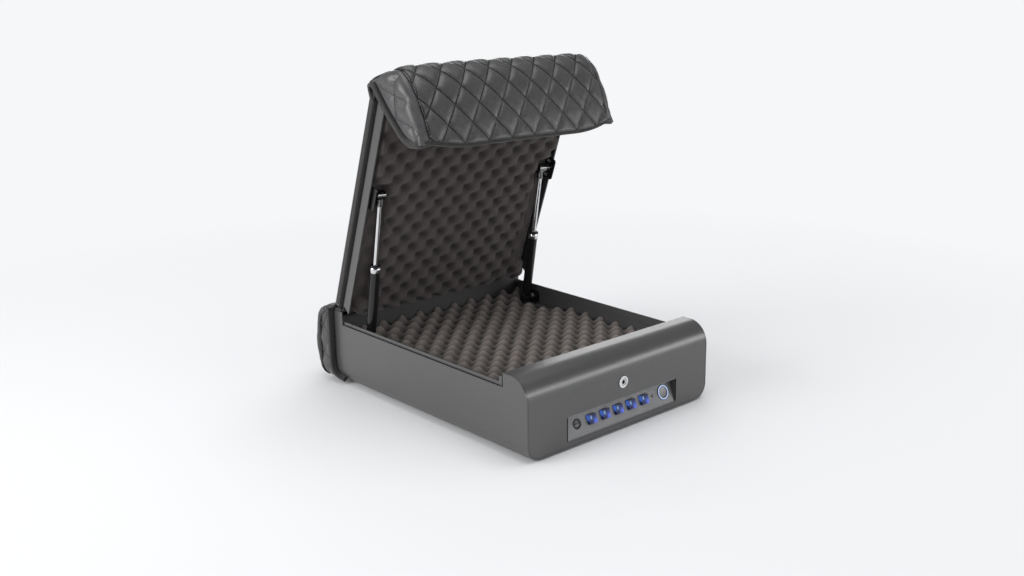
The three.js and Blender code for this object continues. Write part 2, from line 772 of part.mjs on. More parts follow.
// Lid coordinates: the origin on the hinge axis, minus y towards the lid's front edge and z out of its
// outer face.
function lidShell() {
  const rear = barrelRadius + 2 * clearance;
  const [bend, inner] = [lidBend, lidBend - lidSheet];
  const section = new THREE.Shape();
  section.moveTo(halfWidth, -lidFlange);
  section.lineTo(halfWidth, -bend);
  section.absarc(halfWidth - bend, -bend, bend, 0, Math.PI / 2);
  section.absarc(-halfWidth + bend, -bend, bend, Math.PI / 2, Math.PI);
  section.lineTo(-halfWidth, -lidFlange);
  section.lineTo(-halfWidth + lidSheet, -lidFlange);
  section.absarc(-halfWidth + bend, -bend, inner, Math.PI, Math.PI / 2, true);
  section.absarc(halfWidth - bend, -bend, inner, Math.PI / 2, 0, true);
  section.lineTo(halfWidth - lidSheet, -lidFlange);
  const pan = prismY(section, -lidLength, -rear, 4);
  const front = box([-innerHalf, -lidLength, -lidFlange], [innerHalf, -lidLength + lidSheet, -lidSheet / 2]);
  const low = -lidFlange - overrun;
  const bevel = polygon([
    [0, -lidBend], [-flangeRootSetback, -lidBend], [-flangeTipSetback, low], [0, low],
  ]);
  const bevels = [
    prismX(bevel, -halfWidth - overrun, -innerHalf + overrun),
    prismX(bevel, innerHalf - overrun, halfWidth + overrun),
  ];
  const slotHalf = boltWidth / 2 + runningGap;
  const slots = boltMiddles.map((x) => box(
    [x - slotHalf, -lidLength - overrun, -boltDepthInLid - runningGap],
    [x + slotHalf, -lidLength + lidSheet + overrun, -boltDepthInLid + boltHeight + runningGap],
  ));
  return pan.add(front).subtract(joined([...bevels, ...slots]));
}

function hingeKnuckles(odd, tab) {
  const pitch = hingeLength / knuckleCount;
  const bodies = [];
  for (let i = odd ? 1 : 0; i < knuckleCount; i += 2) {
    const x = -hingeLength / 2 + i * pitch + knuckleGap / 2;
    const length = pitch - knuckleGap;
    bodies.push(cylinder("x", barrelRadius, [x, 0, 0], length, 12));
    bodies.push(tab(x, x + length));
  }
  return bodies;
}

function hingeBore() {
  const length = hingeLength + 2 * overrun;
  return cylinder("x", hingePinRadius + clearance, [-length / 2, 0, 0], length, 10);
}

function hingeLeafCase() {
  const root = barrelRadius + 2 * clearance;
  const leaf = box([-hingeLength / 2, 0, -hingeLeafWidth], [hingeLength / 2, hingeLeaf, -root]);
  const tab = (x0, x1) => box([x0, 0, -root - clearance], [x1, hingeLeaf, -barrelRadius / 2]);
  const bodies = hingeKnuckles(false, tab);
  return joined([leaf, ...bodies]).subtract(hingeBore());
}

function hingeLeafLid() {
  const root = barrelRadius + 2 * clearance;
  const high = -lidSheet - clearance;
  const low = high - hingeLeaf;
  const leaf = box([-hingeLength / 2, -hingeLeafWidth, low], [hingeLength / 2, -root, high]);
  const tab = (x0, x1) => box([x0, -root - clearance, low], [x1, -hingePinRadius, high]);
  const bodies = hingeKnuckles(true, tab);
  return joined([leaf, ...bodies]).subtract(hingeBore());
}

function hingePin() {
  return cylinder("x", hingePinRadius, [-hingeLength / 2, 0, 0], hingeLength, 10);
}

function lidFoam() {
  const [rear, front] = [lidFoamRearSetback, lidLength - lidFoamFrontSetback];
  const half = bracketInner - lidFoamSideSetback;
  const middle = (rear + front) / 2;
  const top = lidSheet + clearance;
  const [crest, base] = [top + lidFoamThickness, top - overrun];
  const crate = eggCrate(2 * half, front - rear, lidCrestsAcross, lidCrestsAlong, crest, base, () => 0);
  const outline = roundedRectangle(-half, -front, half, -rear, lidFoamCorner);
  const bounds = prismZ(outline, -crest - overrun, -top, 5);
  const leafRoom = box(
    [-half - overrun, -hingeLeafWidth - clearance, -top - hingeLeaf - clearance],
    [half + overrun, 0, 0],
  );
  const channelHalf = strutX - strutRadius - strutSocketRadius;
  const channelRear = strutLowerSetback - lidChannelRear;
  const channels = [-1, 1].map((side) => {
    const [x0, x1] = side > 0 ? [channelHalf, halfWidth] : [-halfWidth, -channelHalf];
    return box(
      [x0, -strutUpperU - lidChannelFront, -crest - overrun],
      [x1, -channelRear, -top - lidFoamBorder],
    );
  });
  const pad = crate.rotate([180, 0, 0]).translate([0, -middle, 0]);
  return pad.intersect(bounds).subtract(joined([leafRoom, ...channels]));
}

// Strut fittings: a plate with a stud that points inwards
function upperBracket(side) {
  const [front, rear] = [-strutUpperU - bracketLength / 2, -strutUpperU + bracketLength / 2];
  const shape = roundedRectangle(front, -bracketDrop, rear, -bracketRise, bracketCorner);
  const [x0, x1] = side > 0 ? [bracketInner, bracketOuter] : [-bracketOuter, -bracketInner];
  const padOuter = innerHalf - clearance;
  const [p0, p1] = side > 0 ? [bracketOuter - clearance, padOuter] : [-padOuter, -bracketOuter + clearance];
  const pad = box(
    [p0, front + bracketCorner, -bracketPadDrop],
    [p1, rear - bracketCorner, -bracketRise - clearance],
  );
  return prismX(shape, x0, x1, 4).add(pad);
}

function lowerBracket(side) {
  const top = wallTop - lipSeat - clearance;
  const shape = roundedRectangle(
    strutLowerY - lowerBracketLength / 2, top - lowerBracketHeight,
    strutLowerY + lowerBracketLength / 2, top, bracketCorner,
  );
  const [x0, x1] = side > 0 ? [bracketInner, lipOuter] : [-lipOuter, -bracketInner];
  return prismX(shape, x0, x1, 4);
}

function ballStud(side, y, z) {
  const length = studOuter - studInner;
  const flange = cylinder("x", studFlangeRadius, [studOuter - studFlangeSheet, 0, 0], studFlangeSheet, 16);
  const neck = cylinder("x", studNeckRadius, [studInner, 0, 0], length, 12);
  const head = cylinder("x", studHeadRadius, [studInner, 0, 0], studHeadLength, 16);
  const stud = joined([flange, neck, head]);
  const placed = side > 0 ? stud : stud.mirror([1, 0, 0]);
  return placed.translate([0, y, z]);
}

function bracketScrew(side, y) {
  const start = bracketInner - clearance - screwHeadHeight;
  const head = cylinder("x", screwHeadRadius, [start, 0, 0], screwHeadHeight, 14);
  const drive = cylinder("x", screwHeadRadius / 2, [start - overrun, 0, 0], overrun + screwHeadHeight / 2, 6);
  const screw = head.subtract(drive);
  const placed = side > 0 ? screw : screw.mirror([1, 0, 0]);
  return placed.translate([0, y, -strutUpperDepth]);
}

// Strut coordinates: the origin on the lower stud's axis, z towards the upper stud
const upperAtRest = new THREE.Vector2(
  hingeY - strutUpperU * Math.cos(openAngle) - strutUpperDepth * Math.sin(openAngle),
  hingeZ + strutUpperU * Math.sin(openAngle) - strutUpperDepth * Math.cos(openAngle),
);
const strutVector = upperAtRest.clone().sub(new THREE.Vector2(strutLowerY, strutLowerZ));
const strutLength = strutVector.length();
const strutLean = Math.atan2(-strutVector.x, strutVector.y);

function strutSocket(height) {
  return cylinder("x", strutSocketRadius, [-strutSocketRadius, 0, height], 2 * strutSocketRadius, 20);
}

function strutBarrel() {
  const shoulder = strutBarrelFloor / 2;
  const tube = turned([
    [0, 0], [strutNeckRadius, 0], [strutNeckRadius, shoulder], [strutRadius, shoulder + strutRadius / 4],
    [strutRadius, strutBarrelEnd - strutBarrelChamfer], [strutRadius - strutBarrelChamfer / 2, strutBarrelEnd],
    [strutBore, strutBarrelEnd], [strutBore, strutBarrelFloor], [0, strutBarrelFloor],
  ]);
  return tube.add(strutSocket(0));
}

function strutRod() {
  const length = strutRodLength - strutNeckLength - clearance;
  return cylinder("z", strutRodRadius, [0, 0, strutLength - strutRodLength], length, 16);
}

function strutRodEnd() {
  const neck = cylinder("z", strutNeckRadius, [0, 0, strutLength - strutNeckLength], strutNeckLength, 16);
  return neck.add(strutSocket(strutLength));
}

// Quilted leather: seams on a diamond lattice, each diamond swelling between them
function lidCover() {
  const half = halfWidth + coverOverhang;
  const [columns, rows] = [2 * diamondsAcross, 2 * diamondsAlong];
  const spot = (i, j) => [
    -half + 2 * half * i / columns,
    -coverRearSetback - coverLength + coverLength * j / rows,
  ];
  const top = (i, j) => {
    const across = 1 - (2 * i / columns - 1) ** 4;
    const along = 1 - (2 * j / rows - 1) ** 6;
    const crown = (coverThickness - coverEdgeThickness) * across * along;
    const puff = (i + j) % 2 === 0 ? -quiltRelief : 0;
    const edge = i === 0 || j === 0 || i === columns || j === rows;
    const height = coverEdgeThickness + crown + (edge ? -quiltRelief : puff);
    return [...spot(i, j), height];
  };
  return gridBody(columns, rows, top, { full: false, at: (i, j) => [...spot(i, j), clearance] }, false);
}

// Hood coordinates: the origin on the fold, minus y forward and z up when the lid is closed
function hoodProfile() {
  const points = hoodProfileShares.map(([a, b]) => new THREE.Vector2(-a * hoodDepth, -b * hoodDrop));
  return new THREE.SplineCurve(points);
}

function hoodOffset(curve, share, inward) {
  const point = curve.getPointAt(share);
  const tangent = curve.getTangentAt(share);
  return [point.x - tangent.y * inward, point.y + tangent.x * inward];
}

function cornerDraw(share) {
  const full = (share - hoodDrawStartShare) / (hoodDrawFullShare - hoodDrawStartShare);
  return hoodCornerDraw * THREE.MathUtils.clamp(full, 0, 1);
}

function hoodSkin() {
  const curve = hoodProfile();
  const half = halfWidth + coverOverhang + clearance + hoodGusset;
  const columns = 2 * diamondsAcross;
  const rows = 2 * hoodRows;
  const side = (i) => i === 0 || i === columns;
  const across = (i) => half - 2 * half * i / columns;
  const spot = (i, j, inward) => {
    const share = (j / rows) * (side(i) ? hoodCornerEndShare : 1);
    return hoodOffset(curve, share, inward + (side(i) ? cornerDraw(share) : 0));
  };
  const outer = (i, j) => {
    const edge = side(i) || j === 0 || j === rows;
    const seam = (i + Math.floor(j / 2)) % 2 === 0 && j % 2 === 0;
    const dip = edge || seam ? quiltRelief / 2 : (j % 2) * quiltRelief / 4;
    const [y, z] = spot(i, j, dip);
    return [across(i), y, z];
  };
  const rootCut = (j) => (j === 0 ? hoodThickness * Math.tan(hoodDroop) : 0);
  const inner = (i, j) => {
    const [y, z] = spot(i, j, hoodThickness);
    return [across(i), y - rootCut(j), z];
  };
  return gridBody(columns, rows, outer, { full: true, at: inner }, false);
}

function hoodGussets() {
  const curve = hoodProfile();
  const outline = [];
  for (let j = 1; j <= 2 * hoodRows; j += 1) {
    const share = hoodCornerEndShare * j / (2 * hoodRows);
    outline.push(hoodOffset(curve, share, quiltRelief / 2 + cornerDraw(share)));
  }
  gussetEdgeShares.forEach(([a, b]) => outline.push([-a * hoodDepth, -b * hoodDrop]));
  const inner = halfWidth + coverOverhang + clearance;
  return [-1, 1].map((side) => {
    const [x0, x1] = side > 0 ? [inner, inner + hoodGusset] : [-inner - hoodGusset, -inner];
    return prismX(polygon(outline), x0, x1);
  });
}

function coverHood() {
  return joined([hoodSkin(), ...hoodGussets()]);
}

function tailCavityShape() {
  const radius = rearRollRadius + clearance;
  const shape = new THREE.Shape();
  shape.moveTo(earFront, 0);
  shape.lineTo(earFront, caseTop + clearance);
  shape.absarc(caseDepth - rearRollRadius, caseTop - rearRollRadius, radius, Math.PI / 2, 0, true);
  shape.lineTo(caseDepth + clearance, 0);
  return shape;
}

function coverTail() {
  const front = caseDepth - tailLength;
  const [depth, bottom] = [tailLength + tailBack, footHeight + tailFloorGap];
  const height = caseTop + tailTop - bottom;
  const curve = new THREE.Shape();
  curve.moveTo(front, bottom);
  const spot = ([a, b]) => new THREE.Vector2(front + a * depth, bottom + b * height);
  curve.splineThru(tailOutlineShares.slice(1, -1).map(spot));
  curve.lineTo(front, bottom + height);
  const half = halfWidth + tailSide;
  const body = prismX(curve, -half, half, 3);
  const cavity = prismX(tailCavityShape(), -halfWidth - clearance, halfWidth + clearance, 8);
  return body.subtract(cavity);
}

function coverHingeStrip() {
  const front = hingeY + barrelRadius + 2 * clearance;
  return box(
    [-fitHalf, front, caseTop + clearance],
    [fitHalf, caseDepth - tailLength - clearance, caseTop + clearance + hingeStripSheet],
  );
}

// Assembly
function buildCase(group) {
  place(group, "case_shell", caseShell(), powderCoat());
  place(group, "front_panel", frontPanel(), powderCoat());
  place(group, "tray_front_wall", trayFrontWall(), darkSteel());
  place(group, "tray_rear_wall", trayRearWall(), darkSteel());
  place(group, "rear_panel", rearPanel(), powderCoat());
  place(group, "tray_foam", trayFoam(), foam());
  [["left", -1], ["right", 1]].forEach(([name, side]) => {
    place(group, `rim_lip_${name}`, rimLip(side), powderCoat());
    place(group, `lower_bracket_${name}`, lowerBracket(side), blackGloss());
    place(group, `lower_ball_stud_${name}`, ballStud(side, strutLowerY, strutLowerZ), brightSteel());
    [["front", footInsetY], ["rear", caseDepth - footInsetY]].forEach(([end, y]) => {
      place(group, `foot_${end}_${name}`, foot(side * (halfWidth - footInsetX), y), rubber());
    });
  });
}

function buildFrontControls(group) {
  place(group, "keypad_plate", keypadPlate(), darkPlastic());
  place(group, "fingerprint_reader", readerDisc(), darkPlastic());
  place(group, "fingerprint_light_ring", readerRing(), litBlue());
  place(group, "status_light", statusLight(), rubber());
  place(group, "power_socket", powerSocket(), blackGloss());
  place(group, "control_board", controlBoard(), finish(0x1f5a38, 0.5, 0));
  for (let i = 0; i < keyCount; i += 1) place(group, `key_${i + 1}`, keyCap(i), litBlue());
  place(group, "lock_barrel", lockBarrel(), brightSteel());
  place(group, "lock_nut", lockNut(), brightSteel());
  place(group, "lock_plug", lockPlug(), darkSteel());
  place(group, "lock_cam", lockCam(), brightSteel());
  place(group, "latch_bar", latchBar(), brightSteel());
  place(group, "latch_crank", crank(), brightSteel());
  place(group, "latch_motor", latchMotor(), darkSteel());
  place(group, "battery_box", batteryBox(), rubber());
}

function buildHingeAndCover(group) {
  const hinge = new THREE.Group();
  hinge.position.set(0, hingeY, hingeZ);
  place(hinge, "hinge_leaf_case", hingeLeafCase(), darkSteel());
  place(hinge, "hinge_pin", hingePin(), brightSteel());
  group.add(hinge);
  place(group, "cover_tail", coverTail(), leather());
  place(group, "cover_hinge_strip", coverHingeStrip(), leather());
}

function buildLid(group) {
  const lid = new THREE.Group();
  lid.position.set(0, hingeY, hingeZ);
  lid.rotation.x = -openAngle;
  place(lid, "lid_shell", lidShell(), powderCoat());
  place(lid, "hinge_leaf_lid", hingeLeafLid(), darkSteel());
  place(lid, "lid_foam", lidFoam(), foam());
  place(lid, "lid_cover", lidCover(), leather());
  [["left", -1], ["right", 1]].forEach(([name, side]) => {
    place(lid, `upper_bracket_${name}`, upperBracket(side), blackGloss());
    place(lid, `upper_ball_stud_${name}`, ballStud(side, -strutUpperU, -strutUpperDepth), brightSteel());
    [["front", -1], ["rear", 1]].forEach(([end, step]) => {
      const y = -strutUpperU + step * bracketScrewPitch / 2;
      place(lid, `bracket_screw_${end}_${name}`, bracketScrew(side, y), brightSteel());
    });
  });
  const hood = new THREE.Group();
  hood.position.set(0, -foldU, foldN);
  hood.rotation.x = hoodDroop;
  place(hood, "cover_hood", coverHood(), leather());
  lid.add(hood);
  group.add(lid);
}

function buildStruts(group) {
  [["left", -1], ["right", 1]].forEach(([name, side]) => {
    const strut = new THREE.Group();
    strut.position.set(side * strutX, strutLowerY, strutLowerZ);
    strut.rotation.x = strutLean;
    place(strut, `strut_cylinder_${name}`, strutBarrel(), blackGloss());
    place(strut, `strut_rod_${name}`, strutRod(), brightSteel());
    place(strut, `strut_rod_end_${name}`, strutRodEnd(), blackGloss());
    group.add(strut);
  });
}

const safe = new THREE.Group();
safe.position.y = lockRingProud - overallDepth / 2;
buildCase(safe);
buildFrontControls(safe);
buildHingeAndCover(safe);
buildLid(safe);
buildStruts(safe);

export default safe;
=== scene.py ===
import bmesh
import bpy
import math
import numpy as np
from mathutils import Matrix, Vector


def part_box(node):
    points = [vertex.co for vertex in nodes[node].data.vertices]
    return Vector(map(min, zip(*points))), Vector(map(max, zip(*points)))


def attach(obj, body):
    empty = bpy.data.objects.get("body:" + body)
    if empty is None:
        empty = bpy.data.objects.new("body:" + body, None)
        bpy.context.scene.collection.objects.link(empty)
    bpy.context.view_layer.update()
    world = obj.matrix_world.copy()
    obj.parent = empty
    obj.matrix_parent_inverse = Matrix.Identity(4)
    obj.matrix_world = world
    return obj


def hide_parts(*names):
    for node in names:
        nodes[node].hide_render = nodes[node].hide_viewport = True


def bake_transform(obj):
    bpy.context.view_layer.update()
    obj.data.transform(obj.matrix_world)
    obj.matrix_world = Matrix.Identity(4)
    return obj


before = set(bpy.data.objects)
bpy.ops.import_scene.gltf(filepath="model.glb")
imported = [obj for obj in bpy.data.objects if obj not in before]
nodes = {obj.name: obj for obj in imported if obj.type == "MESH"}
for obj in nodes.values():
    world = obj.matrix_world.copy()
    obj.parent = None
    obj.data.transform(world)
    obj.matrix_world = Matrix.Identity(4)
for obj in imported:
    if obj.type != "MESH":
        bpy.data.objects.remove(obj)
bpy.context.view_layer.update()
mm = 0.001

# the lid leans open on its hinge, and the hood hangs from the fold at the lid's front edge (y, z in metres)
openLean = math.radians(70)
hoodLean = math.radians(38)
hingeAt = (0.1521, 0.098)
foldAt = (0.059554, 0.396126)
frontFace = 203.9  # how far the front face lies before the frame's middle, in mm
bottomEdge = {"low": 2, "radius": 17.7, "half": 157}


def lidPlace(x, u, n):  # x across, u along the lid from the hinge, n out of its outer face, in mm
    x, u, n = (np.asarray(v, float) * mm for v in (x, u, n))
    y = hingeAt[0] - u * math.cos(openLean) + n * math.sin(openLean)
    z = hingeAt[1] + u * math.sin(openLean) + n * math.cos(openLean)
    return np.stack(np.broadcast_arrays(x, y, z), -1)


def hoodPlace(x, y, z):  # the fold is the origin; y back and z up in the hood's own frame, in mm
    x, y, z = (np.asarray(v, float) * mm for v in (x, y, z))
    rowY = foldAt[0] + y * math.cos(hoodLean) + z * math.sin(hoodLean)
    rowZ = foldAt[1] - y * math.sin(hoodLean) + z * math.cos(hoodLean)
    return np.stack(np.broadcast_arrays(x, rowY, rowZ), -1)


def sagged(points, share=1.0):  # the hood hangs a little lower towards its right end, as in the photo
    x, y, z = np.moveaxis(np.asarray(points, float), -1, 0)
    turn = math.radians(cover["sag"]) * ease((x / mm + cover["sagFrom"]) / cover["sagWidth"]) * share
    dy, dz = y - foldAt[0], z - foldAt[1]
    newY = foldAt[0] + dy * np.cos(turn) - dz * np.sin(turn)
    newZ = foldAt[1] + dy * np.sin(turn) + dz * np.cos(turn)
    return np.stack([x, newY, newZ], -1)


def hangPlace(x, y, z):
    return sagged(hoodPlace(x, y, z))


def rowPlace(x, y, z):  # y from the front face backwards, z up from the floor, in mm
    x, y, z = (np.asarray(v, float) for v in (x, y, z))
    return np.stack(np.broadcast_arrays(x, y - frontFace, z), -1) * mm


def tailPlace(x, y, z):  # as rowPlace, drawn in where the case's bottom edge is rounded
    drawn = roundedEdge(np.asarray(z, float) - bottomEdge["low"], bottomEdge["radius"]) / bottomEdge["half"]
    return rowPlace(np.asarray(x, float) * (1 - drawn), y, z)


# mesh helpers
def inScene(name, data):
    made = bpy.data.objects.new(name, data)
    bpy.context.scene.collection.objects.link(made)
    return made


def newObject(name, points, faces, materials, uv=None, lattice=None, faceMaterial=None, smooth=True):
    mesh = bpy.data.meshes.new(name)
    mesh.from_pydata(np.asarray(points).reshape(-1, 3).tolist(), [], [list(map(int, f)) for f in faces])
    for material in materials:
        mesh.materials.append(material)
    if faceMaterial is not None:
        mesh.polygons.foreach_set("material_index", np.asarray(faceMaterial, dtype=np.int32))
    for layerName, values in (("cloth", uv), ("lattice", lattice)):
        if values is None:
            continue
        layer = mesh.uv_layers.new(name=layerName)
        corner = np.zeros(len(mesh.loops), dtype=np.int32)
        mesh.loops.foreach_get("vertex_index", corner)
        layer.data.foreach_set("uv", np.asarray(values, dtype=np.float32).reshape(-1, 2)[corner].ravel())
    mesh.polygons.foreach_set("use_smooth", [smooth] * len(mesh.polygons))
    mesh.validate()
    mesh.update()
    return inScene(name, mesh)


def outwards(piece):
    work = bmesh.new()
    work.from_mesh(piece.data)
    bmesh.ops.remove_doubles(work, verts=work.verts, dist=1e-6)
    bmesh.ops.recalc_face_normals(work, faces=work.faces)
    work.to_mesh(piece.data)
    work.free()
    piece.data.update()
    return piece


def gridFaces(rows, columns, start=0, closed=False):  # closed joins the last column to the first
    index = start + np.arange(rows * columns).reshape(rows, columns)
    if closed:
        index = np.concatenate([index, index[:, :1]], 1)
    a, b, c, d = index[:-1, :-1], index[:-1, 1:], index[1:, 1:], index[1:, :-1]
    return np.stack([a, b, c, d], -1).reshape(-1, 4)


def shell(name, outer, inner, uv, materials, lattice=None):  # two skins of one grid, closed at the rim
    rows, columns = outer.shape[:2]
    count = rows * columns
    index = np.arange(count).reshape(rows, columns)
    top = gridFaces(rows, columns)
    under = gridFaces(rows, columns, count)[:, ::-1]
    rim = np.concatenate([index[0, :], index[1:, -1], index[-1, -2::-1], index[-2:0:-1, 0]])
    after = np.roll(rim, -1)
    side = np.stack([after, rim, rim + count, after + count], -1)
    faces = np.concatenate([top, under, side])
    kind = [0] * len(top) + [1] * (len(under) + len(side))
    points = np.concatenate([outer.reshape(-1, 3), inner.reshape(-1, 3)])
    uv, lattice = (v if v is None else np.concatenate([v.reshape(-1, 2)] * 2) for v in (uv, lattice))
    return outwards(newObject(name, points, faces, materials, uv, lattice, kind))


def smoothPath(knots, count):  # a uniform Catmull-Rom curve through the knots, resampled by length
    knots = np.asarray(knots, float)
    padded = np.concatenate([knots[:1], knots, knots[-1:]])
    dense = []
    for i in range(len(knots) - 1):
        p0, p1, p2, p3 = padded[i:i + 4]
        for t in np.linspace(0, 1, 24, endpoint=False):
            v0, v1 = (p2 - p0) / 2, (p3 - p1) / 2
            cubic, square = 2 * p1 - 2 * p2 + v0 + v1, 3 * p2 - 3 * p1 - 2 * v0 - v1
            dense.append(cubic * t ** 3 + square * t ** 2 + v0 * t + p1)
    dense.append(knots[-1])
    return evenly(np.array(dense), count)


def runAlong(points):  # the length from the first point to each
    return np.concatenate([[0], np.cumsum(np.linalg.norm(np.diff(points, axis=0), axis=1))])


def evenly(points, count):
    points = np.asarray(points, float)
    run = runAlong(points)
    at = np.linspace(0, run[-1], count)
    return np.stack([np.interp(at, run, points[:, k]) for k in range(points.shape[1])], -1)


def unit(vectors):
    return vectors / np.linalg.norm(vectors, axis=1)[:, None]


def sidewards(curve):  # the unit normals of a flat curve, to the left of its run
    tangent = unit(np.gradient(curve, axis=0))
    return np.stack([-tangent[:, 1], tangent[:, 0]], -1)


def facing(curve, at):  # the same normals, on the side where the one at that point heads backwards
    normal = sidewards(curve)
    return normal if normal[at, 0] > 0 else -normal


def ease(value, start=0, end=1):  # 0 at the start and before it, 1 from the end on, level at both
    value = np.clip((value - start) / (end - start), 0, 1)
    return value ** 2 * (3 - 2 * value)


def roundedEdge(gap, radius):  # how far a surface drops within radius of its edge
    inside = np.clip(radius - gap, 0, radius)
    return radius - np.sqrt(np.clip(radius ** 2 - inside ** 2, 0, None))


def ripple(a, b, seed):  # a smooth pattern without period, between about -1 and 1
    total = 0
    for k in range(6):
        turn = 2.4 * k + seed
        reach = 0.55 + 0.37 * k
        phase = (a * math.cos(turn) + b * math.sin(turn)) * reach + 1.7 * k * seed
        total = total + np.sin(phase) / (1 + 0.35 * k)
    return total / 2.6


# node trees and finishes
def addNode(tree, kind, values=None, **settings):  # values are constants, or sockets to link, by input
    made = tree.nodes.new(kind)
    for key, value in settings.items():
        setattr(made, key, value)
    for key, value in (values or {}).items():
        if isinstance(value, bpy.types.NodeSocket):
            tree.links.new(value, made.inputs[key])
        else:
            made.inputs[key].default_value = value
    return made


def newTree(name, inputs, output):  # a Geometry Nodes tree with named inputs
    tree = bpy.data.node_groups.new(name, "GeometryNodeTree")
    for label, kind in inputs.items():
        tree.interface.new_socket(name=label, in_out="INPUT", socket_type="NodeSocket" + kind)
    tree.interface.new_socket(name=output, in_out="OUTPUT", socket_type="NodeSocketGeometry")
    return tree, addNode(tree, "NodeGroupInput").outputs


def shade(color, share):
    return tuple(c * share for c in color)


def inMetres(values):
    return (value * mm for value in values)


class Finish:
    def __init__(self, name, color, roughness, **more):
        self.material = bpy.data.materials.new(name)
        self.material.use_nodes = True
        self.tree = self.material.node_tree
        self.shader = self.tree.nodes["Principled BSDF"]
        values = {"Base Color": (*color, 1), "Roughness": roughness, **more}
        for key, value in values.items():
            self.shader.inputs[key.replace("_", " ")].default_value = value
        self.coordinates = self.node("ShaderNodeTexCoord").outputs["Object"]

    def node(self, kind, values=None, **settings):
        return addNode(self.tree, kind, values, **settings)

    def link(self, start, end):
        self.tree.links.new(start, end)

    def noise(self, scale, detail=4, rough=0.55, vector=None):
        values = {"Scale": scale, "Detail": detail, "Roughness": rough, "Vector": vector or self.coordinates}
        return self.node("ShaderNodeTexNoise", values).outputs["Fac"]

    def cells(self, scale, feature="F1"):
        values = {"Scale": scale, "Vector": self.coordinates}
        return self.node("ShaderNodeTexVoronoi", values, feature=feature).outputs["Distance"]

    def math(self, operation, *values):
        return self.node("ShaderNodeMath", dict(enumerate(values)), operation=operation).outputs[0]

    def ramp(self, value, low, high, start, end):
        values = {"Value": value, "From Min": low, "From Max": high, "To Min": start, "To Max": end}
        return self.node("ShaderNodeMapRange", values).outputs["Result"]

    def blend(self, factor, first, second):
        first, second = ((*tone, 1) if isinstance(tone, tuple) else tone for tone in (first, second))
        values = {"Factor": factor, 6: first, 7: second}
        return self.node("ShaderNodeMix", values, data_type="RGBA").outputs[2]

    def bump(self, height, strength, distance, under=None):
        values = {"Height": height, "Strength": strength, "Distance": distance}
        if under is not None:
            values["Normal"] = under
        return self.node("ShaderNodeBump", values).outputs["Normal"]

    def spread(self, value, start, end):  # the middle of a noise's values, taken from start to end
        return self.ramp(value, 0.3, 0.7, start, end)

    def layer(self, name):
        return self.node("ShaderNodeUVMap", uv_map=name).outputs["UV"]

    def split(self, vector=None):
        return self.node("ShaderNodeSeparateXYZ", {"Vector": vector or self.coordinates}).outputs

    def distance(self, across, up):
        squares = [self.math("MULTIPLY", way, way) for way in (across, up)]
        return self.math("SQRT", self.math("ADD", *squares))

    def around(self, middle, lean=1):  # how far from the middle, seen from the front, and how far above it
        place = self.split()
        across = self.math("SUBTRACT", place["X"], middle.x)
        up = self.math("MULTIPLY", self.math("SUBTRACT", place["Z"], middle.z), lean)
        return self.distance(across, up), up

    def set(self, **sockets):
        for key, value in sockets.items():
            self.link(value, self.shader.inputs[key.replace("_", " ")])
        return self


def paintedSteel(name, light, dark, roughness):
    paint = Finish(name, light, roughness, Specular_IOR_Level=1)
    grain = paint.noise(1400, 3, 0.6)
    paint.set(
        Base_Color=paint.blend(paint.spread(paint.noise(9, 4, 0.6), 0, 1), dark, light),
        Roughness=paint.spread(grain, roughness - 0.05, roughness + 0.07),
        Normal=paint.bump(grain, 0.22, 0.0003, paint.bump(paint.noise(260, 2), 0.08, 0.0006)),
    )
    return paint.material


def polishedSteel(name, color, roughness, stretch):
    steel = Finish(name, color, roughness, Metallic=1.0)
    values = {"Scale": stretch, "Vector": steel.coordinates}
    lines = steel.noise(1, 5, 0.7, steel.node("ShaderNodeMapping", values).outputs["Vector"])
    steel.set(
        Roughness=steel.ramp(lines, 0.25, 0.75, roughness * 0.7, roughness * 1.5),
        Normal=steel.bump(lines, 0.06, 0.0002),
        Base_Color=steel.blend(steel.ramp(steel.noise(160), 0.35, 0.7, 0, 1), color, shade(color, 0.86)),
    )
    return steel.material


def mouldedPlastic(name, color, roughness, grainScale=1800, grainDepth=0.12):
    plastic = Finish(name, color, roughness)
    grain = plastic.cells(grainScale)
    plastic.set(
        Roughness=plastic.spread(plastic.noise(70, 4), roughness - 0.05, roughness + 0.08),
        Normal=plastic.bump(grain, grainDepth, 0.0002),
        Base_Color=plastic.blend(plastic.noise(40, 5), color, shade(color, 0.8)),
    )
    return plastic.material


